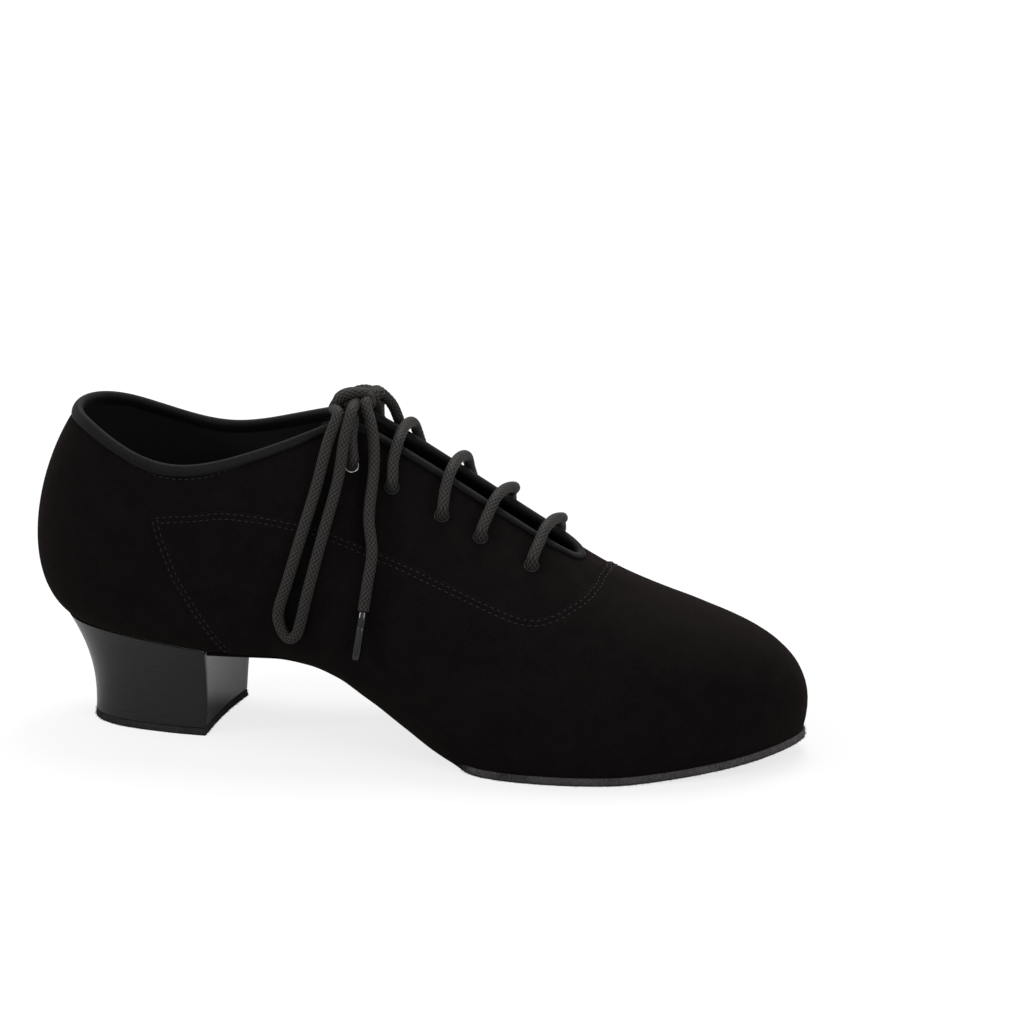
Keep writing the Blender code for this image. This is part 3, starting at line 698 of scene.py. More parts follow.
def make_plain(name, dark, light, spot, depth, **values):
    """A material with one noise for its colour and its grain."""
    material, shader = new_material(name, **values)
    spots = noise_of(material, spot, object_place(material), detail=3.0)
    wire(material, shader, Base_Color=blend_colours(material, spots, dark, light),
         Normal=bump_of(material, spots, depth))
    return material


lace_braid = make_lace()
# Name, darkest and lightest colour, size of the spots and depth of the grain
thread = make_plain("bonded_seam_thread", "#121111", "#232121", 0.4 * MM, 0.02 * MM,
                    Roughness=0.6, Specular_IOR_Level=0.18)
lining = make_plain("lining_leather", "#0A0A0A", "#121111", 0.9 * MM, 0.04 * MM,
                    Roughness=0.7, Specular_IOR_Level=0.3)
sock = make_plain("insole_leather", "#121111", "#1C1B1A", 1.1 * MM, 0.05 * MM,
                  Roughness=0.62, Specular_IOR_Level=0.35)

# %% [markdown]
# The heel is a stack of leather lifts, stained black, waxed and burnished.  The
# wax gives a smooth sheen over faint lines where one lift meets the next.  The
# lines follow the height, so Object coordinates are enough.

# %% Stacked leather
LIFT = 1.85 * MM
LIFT_WOBBLE = 0.5 * MM
WOBBLE_SIZE = 22 * MM
STACK_FIBRE = 0.35 * MM
FIBRE_STRETCH = (0.12, 0.12, 1.0)
JOINT_WIDTH = 0.22 * MM
STACK_GLOSS = (0.24, 0.42)


def make_stack():
    material, shader = new_material("waxed_stacked_leather", Roughness=0.3,
                                    Specular_IOR_Level=0.36, Coat_Weight=0.3,
                                    Coat_Roughness=0.1)
    place = object_place(material)
    streaks = add_node(material, "Mapping", {"Vector": place, "Scale": FIBRE_STRETCH}).outputs["Vector"]
    fibre = noise_of(material, STACK_FIBRE, streaks, detail=3.0)
    wobble = noise_of(material, WOBBLE_SIZE, place)
    height = calculate(material, "MULTIPLY_ADD", wobble, LIFT_WOBBLE, axis_of(material, place, "Z"))
    joint = map_range(material, calculate(material, "PINGPONG", height, LIFT / 2), 0.0, JOINT_WIDTH)
    mixed = weigh(material, (fibre, 0.6), (joint, 0.18))
    wire(material, shader, Base_Color=blend_colours(material, mixed, "#0B0B0B", "#191818"),
         Roughness=map_range(material, fibre, 0.0, 1.0, *STACK_GLOSS),
         Normal=bump_of(material, joint, 0.015 * MM, bump_of(material, fibre, 0.012 * MM)))
    return material


stack = make_stack()

# %% [markdown]
# Eyelets are turned brass with black enamel.  The top pair keeps its bright
# nickel.  An aglet is a sleeve of smoked acetate film.

# %% Enamel, nickel and film
enamel = make_plain("black_enamel", "#0A0A0A", "#141414", 1.2 * MM, 0.01 * MM,
                    Roughness=0.35, Specular_IOR_Level=0.35)
nickel = make_plain("bright_nickel", "#A9A7A3", "#C9C7C2", 1.5 * MM, 0.004 * MM,
                    Roughness=0.22, Metallic=1.0)
film = make_plain("smoked_acetate_film", "#060606", "#101011", 2.0 * MM, 0.02 * MM,
                  Roughness=0.1, Specular_IOR_Level=0.4, Coat_Weight=0.3, Coat_Roughness=0.05)

# %% [markdown]
# ## The lace
#
# About 85 cm of round braid show, the knot not counted.  Four bars cross the
# throat between the eyelet pairs, and above the top pair the two ends rise to the
# knot of a bow.  Each side has a loop that hangs down and a free end with an
# aglet.  The routes start from the solid model's own, and are moved up to a few
# millimetres where the photo shows the lace to lie a little differently.

# %% Sizes and routes of the lace
LACE = 3.8 * MM
AGLET = 3.0 * MM
AGLET_LENGTH = 16.5 * MM
KNOT_LENGTH = 13.5 * MM
KNOT_WIDTH = 12 * MM
KNOT_HEIGHT = 8.5 * MM
KNOT_ALONG = 115 * MM
KNOT_RISE = 114.5 * MM
BINDING_THICK = 0.7 * MM
EYELET_HOLE = 4.4 * MM
EYELET_INSET = 14 * MM
LACE_CLEARANCE = 4.5 * GAP
EYELETS_ALONG = (0.6685, 0.604, 0.555, 0.491, 0.4405)
THROAT_RIB = 6
LEAVING_ROUTE = ((0.35, 0.0), (0.86, 0.32))
BAR_ARCHES = (0.34, 0.36, 0.5, 0.6)
STRAND_RIB = 7.15
LOOP_RETURNS = (0.16, 0.04)
END_STARTS = (0.42, 0.08)
STRAND_JOINS = (-0.05, -0.32)
# How far each bar slants along the throat, from the toe back, and the shares of
# that at the last two points of its outer and inner side
BAR_SLIDES = (5.2 * MM, 4.0 * MM, -1.4 * MM, -4.2 * MM)
OUTER_SLIDE = (0.34, 0.66)
INNER_SLIDE = (0.3, 0.95)
# Beginning of a loop over the knot, in mm: along, outwards and up from its centre
LOOP_OVER = ((4.8, 3.6, 2.6), (2.8, 5.2, 3.4), (0.4, 6.2, 3.2), (-2.0, 6.9, 2.4), (-4.0, 7.5, 0.9),
             (-5.3, 8.1, -1.4))
KNOT_LEANS = 1.6 * MM
# Route of the knot's own turns, in mm from its centre
KNOT_ROUTE = (
    (4.6, 3.2, 3.0), (6.2, 4.3, 2.2), (6.5, 4.9, 0.2), (5.2, 4.6, -1.8), (2.4, 4.0, -2.5),
    (-1.0, 3.8, -2.4), (-4.0, 4.2, -1.4), (-5.2, 4.6, 0.3), (-4.4, 3.2, 1.8), (-2.0, 1.2, 2.6),
    (1.4, -0.4, 2.4), (4.2, -2.4, 1.6), (5.2, -4.0, -0.2), (4.2, -4.7, -1.8), (1.4, -4.4, -2.4),
    (-2.4, -3.6, -1.8), (-4.2, -1.6, -0.6), (-3.0, 1.4, 0.2), (0.2, 2.2, 0.9), (3.2, 2.6, 2.0),
)
# Places of a loop and of a free end on the upper: rib, share up it, and lift in laces
LOOP_ROUTE = (
    (6.72, 1.000, 1.95), (6.66, 0.910, 1.50), (6.47, 0.785, 0.82), (6.06, 0.648, 0.72),
    (5.70, 0.504, 0.72), (5.45, 0.380, 0.72), (5.46, 0.312, 0.72), (5.55, 0.278, 0.72),
    (5.70, 0.303, 0.72), (5.83, 0.359, 0.72), (6.14, 0.500, 0.72), (6.66, 0.660, 0.74),
    (7.11, 0.800, 1.20), (7.09, 0.920, 2.00), (7.05, 1.000, 2.25),
)
END_ROUTE = (
    (7.56, 1.000, 1.70), (7.80, 0.945, 1.40), (7.94, 0.870, 1.05), (7.91, 0.730, 0.78),
    (7.91, 0.640, 0.72), (7.69, 0.545, 0.72), (7.48, 0.477, 0.72),
)


def eyelet_frame(along, side):
    """Centre, outward and mouthward directions of an eyelet, and its rib."""
    at = side * find_rib(float(THROAT_RIB), TOE - 1.0, along, lambda rib: last_point(
        side * rib, below_mouth(side * rib, EYELET_INSET))[0])
    t = below_mouth(at, EYELET_INSET)
    out = last_normal(at, t)
    mouthward = last_point(at, t + NEAR) - last_point(at, t - NEAR)
    return last_point(at, t), out, unit(mouthward - out * mouthward.dot(out)), at


def lace_leaves(frame, mouth_at):
    """Route of the lace through an eyelet, out of it and over the binding."""
    centre, out, mouthward, at = frame
    over = LACE_CLEARANCE + BINDING_THICK + LACE / 2
    half, halfway = below_mouth(at, EYELET_INSET / 2), (at + mouth_at) / 2
    return [centre - out * (WALL + 3 * GAP), centre - out * WALL / 2,
            *[centre + (out * rise + mouthward * ahead) * LACE for rise, ahead in LEAVING_ROUTE],
            last_point(halfway, half) + last_normal(halfway, half) * over,
            last_point(mouth_at, 1.0) + last_normal(mouth_at, 1.0) * over + UP * GAP]


def knot_side(side, place, away=0.0):
    """A point just off the knot's side, or a distance away from it."""
    along, up = place
    return np.array((KNOT_ALONG + along * KNOT_LENGTH, -side * (KNOT_WIDTH / 2 + GAP + away),
                     KNOT_RISE + up * KNOT_HEIGHT))


def on_upper(side, rows):
    """Route points lifted off the upper, on one side of the shoe."""
    return [last_point(side * rib, reach) + last_normal(side * rib, reach) * lift * LACE
            for rib, reach, lift in rows]


def even_path(route, spacing, fine=40):
    """Points with even spacing on a smooth curve through a route's own points."""
    route = np.asarray(route, float)
    steps = np.linalg.norm(np.diff(route, axis=0), axis=1)[:, None]
    middle = (route[2:] - route[:-2]) / (steps[1:] + steps[:-1])
    slopes = np.vstack(((route[1] - route[0]) / steps[0], middle, (route[-1] - route[-2]) / steps[-1]))
    share = np.linspace(0, 1, fine, endpoint=False)[:, None]
    dense = np.vstack([hermite(a, b, m * step, n * step, share) for a, b, m, n, step
                       in zip(route, route[1:], slopes, slopes[1:], steps)] + [route[-1:]])
    reach = reach_along(dense)
    wanted = np.linspace(0, reach[-1], max(int(reach[-1] / spacing), 4) + 1)
    return np.stack([np.interp(wanted, reach, dense[:, k]) for k in range(3)], -1)


# %% [markdown]
# A round braid has two families of yarns that wind in opposite directions and
# pass over and under each other.  Around the tube and along it, the two families
# make a chessboard of cells, and in each cell one family lies on top.  The mesh
# rises there, which gives the braid its real relief.

# %% Braid a tube
BRAID_YARNS = 8
BRAID_PITCH = 14.5 * MM
BRAID_RELIEF = 0.26 * MM
BRAID_STEP = 0.25 * MM
BRAID_SIDES = 48
YARN_DIP = 1.2
# A direction that no part of the lace runs along
ASLANT = (0.31, 0.52, 0.79)


def frames_along(path):
    """Two directions across a path that turn with it and don't twist."""
    ahead = unit(np.gradient(path, axis=0))
    across = np.empty_like(path)
    across[0] = unit(np.cross(ahead[0], ASLANT))
    for k in range(1, len(path)):
        across[k] = unit(across[k - 1] - ahead[k] * across[k - 1].dot(ahead[k]))
    return across, np.cross(ahead, across)


def braid_crown(turn, reach):
    """Height of the braid from 0 to 1 at shares of a turn and distances along."""
    right = BRAID_YARNS * (turn + reach / BRAID_PITCH)
    left = BRAID_YARNS * (turn - reach / BRAID_PITCH)
    along = np.where((np.floor(right) + np.floor(left)) % 2 == 0, right, left) % 1 - 0.5
    cross = np.where((np.floor(right) + np.floor(left)) % 2 == 0, left, right) % 1 - 0.5
    return np.sqrt(np.clip(1 - (2 * cross) ** 2, 0, 1)) * (1 - YARN_DIP * along ** 2)


def braid(name, path, diameter):
    """A braided tube along a path in the shoe's frame, closed at both ends."""
    across, third = frames_along(path)
    turn = np.linspace(0, 1, BRAID_SIDES + 1)
    reach = reach_along(path)
    crown = braid_crown(turn[None, :-1], reach[:, None])
    crown = np.hstack((crown, crown[:, :1]))
    radius = (diameter / 2 - BRAID_RELIEF * (1 - crown))[..., None]
    angle = 2 * math.pi * turn[None, :, None]
    places = (path[:, None] + np.cos(angle) * radius * across[:, None]
              + np.sin(angle) * radius * third[:, None])
    tube = lay_sheet(name, places, merge=False)
    tube.data.attributes.new("crown", "FLOAT", "POINT").data.foreach_set("value", crown.ravel())
    in_edit_mode(tube, MERGE, CLOSE_ENDS)
    return tube


def path_length(path):
    return float(np.linalg.norm(np.diff(path, axis=0), axis=1).sum())


# %% [markdown]
# Each bar is one cord from eyelet to eyelet.  A curve with a bevel would be
# quicker, but only a mesh can carry the braid.  Each route goes out of its
# eyelets and over the binding, slants as in the photo and arches a little.

# %% Bars across the throat
EYELETS = {side: [eyelet_frame(share * LENGTH, side) for share in EYELETS_ALONG]
           for side in (OUTER, INNER)}
lace_total = 0.0
for k in range(len(EYELETS_ALONG) - 1):
    outer, inner = (lace_leaves(EYELETS[side][k], EYELETS[side][k][-1]) for side in (OUTER, INNER))
    inner_at = EYELETS[INNER][k][-1]
    slide = unit(last_point(inner_at - NEAR, 1.0) - last_point(inner_at + NEAR, 1.0)) * BAR_SLIDES[k]
    for route, shares in ((outer, OUTER_SLIDE), (inner, INNER_SLIDE)):
        route[-2:] = [point + slide * share for point, share in zip(route[-2:], shares)]
    middle = (outer[-1] + inner[-1]) / 2 + UP * LACE * BAR_ARCHES[k]
    bar_path = settle(even_path([*outer, middle, *inner[::-1]], BRAID_STEP))
    lace_total += path_length(bar_path)
    finish(braid(f"bar_lace_{k + 1}", bar_path, LACE), lace_braid, "lace_cord", f"lace_bar_{k + 1}")

# %% [markdown]
# Above the top eyelets each side of the lace is one cord: it rises over the
# binding, goes through the knot, hangs down as a loop and comes back into the
# knot.  The free end leaves the knot beside it and ends in its aglet.  The knot
# itself is a turn pulled tight round the crossing.

# %% The aglet and the knot
AGLET_PROFILE = ((0.00, 0.60), (0.015, 0.86), (0.05, 1.0), (0.30, 1.0), (0.33, 0.95), (0.36, 1.0),
                 (0.90, 0.97), (0.965, 0.90), (0.99, 0.72), (1.00, 0.45))
KNOT_LACE = 0.86 * LACE


def lathe_along(name, start, ahead, profile, length, radius, sides=28):
    """A round piece along a direction, from shares of its length and radius."""
    shares = np.array(profile)
    path = start + np.outer(shares[:, 0] * length, ahead)
    across = unit(np.cross(ahead, ASLANT))
    third = np.cross(ahead, across)
    angle = np.linspace(0, 2 * math.pi, sides + 1)[None, :, None]
    rings = (path[:, None] + (np.cos(angle) * across + np.sin(angle) * third)
             * (shares[:, 1] * radius)[:, None, None])
    piece = lay_sheet(name, rings, merge=False)
    in_edit_mode(piece, MERGE, CLOSE_ENDS)
    return piece


def by_knot(side, points):
    """Points in mm around the knot's centre, along, outwards and up."""
    leans = UP * KNOT_LEANS * (side == INNER)
    return [np.array((KNOT_ALONG, 0, KNOT_RISE)) + np.array((along, -side * out, up)) * MM - leans
            for along, out, up in points]


knot_path = settle(even_path(by_knot(OUTER, KNOT_ROUTE), BRAID_STEP))
knot = finish(braid("bow_knot", knot_path, KNOT_LACE), lace_braid, "lace_cord", "lace_knot")

# %% [markdown]
# Loops and free ends hang down on the quarters, so their routes are places on the
# last with a lift of about three quarters of a lace.

# %% Loops and free ends
for side, word in ((OUTER, "outer"), (INNER, "inner")):
    middle = np.array((KNOT_ALONG, -side * KNOT_WIDTH / 6, KNOT_RISE))
    bow_path = settle(even_path(
        [*lace_leaves(EYELETS[side][-1], side * STRAND_RIB), knot_side(side, STRAND_JOINS), middle,
         *by_knot(side, LOOP_OVER),
         *on_upper(side, LOOP_ROUTE),
         knot_side(side, LOOP_RETURNS, LACE / 2), knot_side(side, LOOP_RETURNS)], BRAID_STEP))
    bow = finish(braid("bow_lace_" + word, bow_path, LACE), lace_braid, "lace_cord",
                 "lace_strand_" + word, "lace_loop_" + word)
    end_path = settle(even_path([middle, knot_side(side, END_STARTS),
                                 knot_side(side, END_STARTS, LACE / 2), *on_upper(side, END_ROUTE)],
                                BRAID_STEP))
    ahead = unit(end_path[-1] - end_path[-4])
    tip = finish(lathe_along("film_aglet_" + word, end_path[-1] - ahead * GAP, ahead, AGLET_PROFILE,
                             AGLET_LENGTH, AGLET / 2), film, "aglet_plastic", "aglet_" + word)
    end = finish(braid("end_lace_" + word, end_path, LACE), lace_braid, "lace_cord",
                 "lace_end_" + word)
    lace_total += path_length(bow_path) + path_length(end_path)
print("length of lace that shows in mm:", round(lace_total / MM))

# %% [markdown]
# ## Quarters
#
# The quarters are one wall of suede round the whole foot, 1.8 mm thick.  A grid
# is laid on the folded last, Solidify gives it its thickness inwards, and a
# Boolean punches the ten eyelet holes.

# %% Quarters with their holes
COLUMNS_PER_RIB = 12
QUARTER_ROWS = 56
HOLE_SIDES = 28
CUTTER_DEPTH = 5 * WALL
around = np.linspace(0, len(RIBS), len(RIBS) * COLUMNS_PER_RIB + 1)
upward = np.linspace(0, 1, QUARTER_ROWS)
quarters = lay_sheet("suede_quarters", skin(around[None, :], upward[:, None]))
apply_modifier(quarters, "SOLIDIFY", thickness=WALL, offset=-1, use_even_offset=True)


def punch_holes(piece):
    """Cuts the eyelet holes through a wall."""
    cutters = []
    for centre, out, *_ in (*EYELETS[OUTER], *EYELETS[INNER]):
        turn = Vector(UP).rotation_difference(Vector(out)).to_euler()
        bpy.ops.mesh.primitive_cylinder_add(vertices=HOLE_SIDES, radius=EYELET_HOLE / 2 + GAP,
                                            depth=CUTTER_DEPTH, location=settle(centre), rotation=turn)
        cutters.append(bpy.context.object)
    bpy.ops.object.select_all(action="DESELECT")
    for cutter in cutters:
        cutter.select_set(True)
    bpy.ops.object.join()
    cutter = bpy.context.object
    bpy.ops.object.transform_apply(location=True, rotation=True, scale=True)
    apply_modifier(piece, "BOOLEAN", operation="DIFFERENCE", object=cutter, solver="EXACT")
    bpy.data.objects.remove(cutter)


punch_holes(quarters)
finish(quarters, suede, "black_suede", "upper", angle=60)

# %% [markdown]
# ## Vamp
#
# The vamp covers the toe and runs back along both sides.  It lies on the
# quarters: its cut edge starts at the sole under the ankle, climbs to a corner,
# swings down past the eyelets and crosses the instep before the throat.  Two rows
# of stitches run inside that edge and pull it down into two soft grooves.

# %% Shape of the vamp's edge
VAMP_THICK = 0.62 * MM
VAMP_ROUNDING = (-0.3 * MM, 0.7 * MM)
VAMP_OVERLAP = 1.2
VAMP_COLUMNS, CLOSER_AT_CORNER = 132, 1.6
VAMP_ROWS, CLOSER_AT_EDGE = 50, 1.8
RIM_STEP = 0.4 * MM
SEAM_ROWS = (1.2 * MM, 2.95 * MM)
SEAM_GROOVE = 0.20 * MM
SEAM_GROOVE_WIDTH = 0.5 * MM
# The edge from its rear corner to the toe rib: places (at, t)
VAMP_EDGE = np.array((
    (3.49, 0.750), (4.01, 0.780), (4.50, 0.785), (5.15, 0.748), (5.83, 0.708), (7.34, 0.660),
    (8.22, 0.650), (8.88, 0.634), (9.41, 0.618), (9.90, 0.609), (10.21, 0.618), (10.60, 0.660),
    (11.10, 0.737), (11.75, 0.816), (12.60, 0.880), (13.40, 0.922), (14.00, 0.934),
))
# Its rear edge from the sole to the corner: t and at
VAMP_REAR = np.array(((0.0, 4.38), (0.166, 4.220), (0.308, 4.040), (0.405, 3.895), (0.473, 3.785),
                      (0.564, 3.675), (0.750, 3.49), (1.0, 3.49)))
CORNER_RIB = VAMP_EDGE[0, 0]


def vamp_place(rib, share):
    """Places on the vamp: rib along its top edge, share 0 at the sole and 1 at the edge."""
    t = share * read_table(VAMP_EDGE, 1, rib)
    slant = read_table(VAMP_REAR, 1, t) - CORNER_RIB
    return rib + slant * ((TOE - rib) / (TOE - CORNER_RIB)) ** 2, t


def edge_distance(points, edge, batches=40):
    """Distance of points from an edge line, in small batches."""
    flat = points.reshape(-1, 3)
    near = [np.linalg.norm(part[:, None] - edge[None], axis=-1).min(1)
            for part in np.array_split(flat, batches)]
    return np.concatenate(near).reshape(points.shape[:-1])


share_along = np.linspace(0, 1, VAMP_COLUMNS) ** CLOSER_AT_CORNER
rib_along = CORNER_RIB + (TOE - CORNER_RIB) * share_along
share_up = 1 - np.linspace(1, 0, VAMP_ROWS) ** CLOSER_AT_EDGE
at_outer, t_outer = vamp_place(rib_along[None, :], share_up[:, None])
vamp_at = np.hstack((at_outer, 2 * TOE - at_outer[:, -2::-1]))
vamp_t = np.hstack((t_outer, t_outer[:, -2::-1]))
bare = skin(vamp_at, vamp_t)
rim = np.vstack([even_path(line, RIM_STEP) for line in (bare[::3, 0], bare[-1], bare[::3, -1])])
from_edge = edge_distance(bare, rim)
rounding = ease(from_edge, *VAMP_ROUNDING)
grooves = sum(np.exp(-((from_edge - row) / SEAM_GROOVE_WIDTH) ** 2) for row in SEAM_ROWS)
vamp = lay_sheet("suede_vamp", skin(vamp_at, vamp_t, VAMP_THICK * rounding - SEAM_GROOVE * grooves))
apply_modifier(vamp, "SOLIDIFY", thickness=VAMP_THICK * VAMP_OVERLAP, offset=-1)
finish(vamp, suede, "black_suede", angle=60)

# %% [markdown]
# ## Stitches
#
# Each stitch is a short, slightly bent thread that dips into the suede at both
# ends.  One stitch is modelled and then set along every seam: two rows inside
# the vamp's edge, and a single row just under the collar, at its lowest dip.

# %% Model one stitch and sew the seams
STITCH_LENGTH = 1.45 * MM
STITCH_PITCH = 2.3 * MM
STITCH_THICK = 0.44 * MM
STITCH_TAPER = 0.75
STITCH_BEND = 0.3
STITCH_REACH = 0.1 * MM
VAMP_STITCH_LIFT = VAMP_THICK - 0.02 * MM
COLLAR_STITCH_LIFT = 0.12 * MM
CORNER_TRIM = 0.6 * MM
# The row under the collar: places (at, t)
COLLAR_ROW = ((3.30, 0.965), (3.55, 0.943), (3.93, 0.940), (4.40, 0.941), (4.75, 0.953),
              (5.05, 0.960), (5.35, 0.968), (5.60, 0.984))


def thread_shape(length, thick, sides=6, rings=5):
    """Corners and faces of one stitch along X, bent down at its ends."""
    share = np.linspace(-1, 1, rings)
    angle = np.linspace(0, 2 * math.pi, sides, endpoint=False)
    radius = thick / 2 * (1 - STITCH_TAPER * share ** 4)
    sunk = STITCH_BEND * thick * share * share
    corners = np.array([(s * length / 2, r * math.cos(a), r * math.sin(a) - low)
                        for s, r, low in zip(share, radius, sunk) for a in angle])
    faces = [(k * sides + j, (k + 1) * sides + j, (k + 1) * sides + (j + 1) % sides,
              k * sides + (j + 1) % sides) for k in range(rings - 1) for j in range(sides)]
    caps = [tuple(range(sides)), tuple((rings - 1) * sides + j for j in reversed(range(sides)))]
    return corners, faces + caps


def walk(at, t, step):
    """The place reached from a place by a short step along the last."""
    for _ in range(2):
        around = (last_point(at + NEAR, t) - last_point(at - NEAR, t)) / (2 * NEAR)
        upward = (last_point(at, t + NEAR) - last_point(at, t - NEAR)) / (2 * NEAR)
        normal = unit(np.cross(around, upward))
        solved = np.linalg.solve(np.stack((around, upward, normal), -1), step[..., None])[..., 0]
        target = last_point(at, t) + step
        at, t = at + solved[..., 0], t + solved[..., 1]
        step = target - last_point(at, t)
    return at, t


def sew(at, t, lift):
    """Frames of stitches at an even pitch along a line of places."""
    line = skin(at, t, lift)
    reach = reach_along(line)
    wanted = np.arange(STITCH_PITCH / 2, reach[-1], STITCH_PITCH)
    at, t = np.interp(wanted, reach, at), np.interp(wanted, reach, t)
    middle, out = skin(at, t, lift), last_normal(at, t)
    ahead = np.stack([np.interp(wanted + STITCH_REACH, reach, line[:, k])
                      - np.interp(wanted - STITCH_REACH, reach, line[:, k]) for k in range(3)], -1)
    ahead = unit(ahead - out * (ahead * out).sum(-1, keepdims=True))
    return frames_of(ahead, np.cross(out, ahead), out, middle)


def inside_edge(at, t, distance):
    """A line that keeps a distance inside the vamp from its edge line."""
    line = last_point(at, t)
    ahead = unit(np.gradient(line, axis=0))
    inward = np.cross(ahead, last_normal(at, t))
    return walk(at, t, inward * distance)


rib_line = np.linspace(CORNER_RIB + 0.02, TOE, 300)
seam_at = np.concatenate((rib_line, 2 * TOE - rib_line[-2::-1]))
seam_t = read_table(VAMP_EDGE, 1, rib_line)
seam_t = np.concatenate((seam_t, seam_t[-2::-1]))
rear_t = np.linspace(0.02, 0.735, 90)
rear_at = read_table(VAMP_REAR, 1, rear_t)
stitch_frames = []
for distance in SEAM_ROWS:
    trim = int(distance / CORNER_TRIM)
    row_at, row_t = inside_edge(seam_at, seam_t, distance)
    stitch_frames.append(sew(row_at[trim:-trim], row_t[trim:-trim], VAMP_STITCH_LIFT))
    row_at, row_t = inside_edge(rear_at, rear_t, distance)
    for side in (OUTER, INNER):
        stitch_frames.append(sew(row_at * side, row_t, VAMP_STITCH_LIFT))
collar_row = np.array(COLLAR_ROW)
collar_at = np.linspace(collar_row[0, 0], collar_row[-1, 0], 80)
collar_t = read_table(collar_row, 1, collar_at)
for side in (OUTER, INNER):
    stitch_frames.append(sew(collar_at * side, collar_t, COLLAR_STITCH_LIFT))
one_stitch = thread_shape(STITCH_LENGTH, STITCH_THICK)
stitches = stamp("seam_stitches", one_stitch, np.vstack(stitch_frames))
finish(stitches, thread, "black_suede")
print("stitches:", sum(len(frames) for frames in stitch_frames))

# %% [markdown]
# ## Binding
#
# A woven tape is folded over the raw edge of the mouth, collar and throat in one
# run, and padded by the wall it wraps.  Its section is a soft roll, which is
# carried round the mouth.

# %% Roll the binding
# Section of the roll in mm: out of the wall, and up from the mouth's edge
BINDING_SECTION = ((0.10, -3.0), (0.60, -2.95), (0.92, -2.5), (1.08, -1.8), (1.10, -0.9), (0.92, 0.0),
                   (0.48, 0.72), (-0.25, 1.08), (-1.05, 1.08), (-1.80, 0.72), (-2.28, 0.0),
                   (-2.48, -0.9), (-2.46, -1.9), (-2.30, -2.8), (-2.05, -3.0))
SECTION_STEP = 0.32
BINDING_TAPE = 0.32 * MM
BINDING_WAVE = 0.10 * MM
# Waves of the tape's edge: radians a rib, start and share
BINDING_WAVES = ((5.1, 0.0, 1.0), (11.3, 1.0, 0.6))
WAVE_BELOW = -1 * MM
WALL_SAMPLE = 1 / 9
THROAT_NARROWING = 0.28
section = even_path([(out, rise, 0) for out, rise in BINDING_SECTION], SECTION_STEP)[:, :2] * MM
mouth, below = last_point(around, 1.0), last_point(around, 1 - WALL_SAMPLE)
up_wall = unit(mouth - below)
out_wall = unit(np.cross(last_point(around + NEAR, 1.0) - last_point(around - NEAR, 1.0), up_wall))
wave = BINDING_WAVE * sum(np.sin(around * rate + start) * share for rate, start, share in BINDING_WAVES)
at_joint = (around == 0) | (around == len(RIBS))
wave = np.where(at_joint, 0, wave * np.sin(np.pi * around / len(RIBS)) ** 0.3)
rib_of = np.minimum(around, len(RIBS) - around)
narrowed = 1 - THROAT_NARROWING * ease(rib_of, THROAT_RIB, THROAT_RIB + 1.5)
drop = np.where(section[:, 1, None] < 0, section[:, 1, None] * narrowed, section[:, 1, None])
rolled = (mouth[None] + out_wall[None] * section[:, 0, None, None]
          + up_wall[None] * (drop + wave[None] * (section[:, 1, None] < WAVE_BELOW))[..., None])
binding = lay_sheet("rolled_binding", settle(rolled))
apply_modifier(binding, "SOLIDIFY", thickness=BINDING_TAPE, offset=-1)
finish(binding, tape, "binding_tape", "topline_binding", angle=70)

# %% [markdown]
# ## Lining and tongue
#
# Inside, a thin leather lining follows the wall.  Lining and tongue are dark, but
# they give the throat and the collar a true inside.

# %% Lining
LINING_THICK = 0.4 * MM
LINING_GAP = 0.08 * MM
LINING_FOOT = 0.015
LINING_STOPS = 2.4 * MM
LINING_ROWS = 40
lined = below_mouth(around, LINING_STOPS)
lining_t = LINING_FOOT + (lined[None, :] - LINING_FOOT) * np.linspace(0, 1, LINING_ROWS)[:, None]
inner_wall = lay_sheet("leather_lining", skin(around[None, :], lining_t, -WALL - LINING_GAP))
apply_modifier(inner_wall, "SOLIDIFY", thickness=LINING_THICK, offset=-1)
finish(inner_wall, lining, "insole_leather", angle=60)

# %% [markdown]
# The tongue keeps the lace off the foot.  It could be sculpted, but a coarse cage
# of rows under the throat, made smooth with Subdivision Surface, follows the last
# by itself.

# %% Tongue
TONGUE_THICK = 1.3 * MM
TONGUE_ROOM = 2.9 * MM
TONGUE_DEPTH = WALL + TONGUE_ROOM
# Columns: rib along the throat, reach down the ribs, and closing at the end
TONGUE_ROWS = ((7.0, 0.25, 0), (8.0, 0.27, 0), (9.0, 0.27, 0), (10.0, 0.27, 0), (11.0, 0.27, 0),
               (12.0, 0.28, 0.35), (13.0, 0.28, 1))
TONGUE_SHARES = (1.0, 0.6, 0.25, 0.0)
TONGUE_END_DROP = 0.7
TONGUE_END_GATHER = 0.35
TONGUE_ARCH = 1.2 * MM
TONGUE_TOP_LENGTH = 10 * MM
TONGUE_TOP_RISE = -0.5 * MM
TONGUE_TOP_BULGE = 0.4
TONGUE_TOP_NARROWING = 0.18


def tongue_side(side, rib, reach, closing):
    """Points on one side of the tongue, from its edge under the wall to the throat."""
    points = []
    for share in TONGUE_SHARES:
        at = side * (rib + (TOE - rib) * closing * (1 - share))
        t = 1 - reach * (share + closing * TONGUE_END_DROP * (1 - share))
        points.append(last_point(at, t) - last_normal(at, t) * TONGUE_DEPTH)
    if closing == 1:
        points[-1] = points[-1] + (points[-2] - points[-1]) * TONGUE_END_GATHER
    return points


def tongue_top(row, share):
    """A row of the tongue's free top, share 1 at its end, made from the row below."""
    rise = TONGUE_TOP_RISE * share * (1 + TONGUE_TOP_BULGE * (1 - share))
    return [p * (1, 1 - TONGUE_TOP_NARROWING * share, 1) + (-TONGUE_TOP_LENGTH * share, 0, rise)
            for p in row]


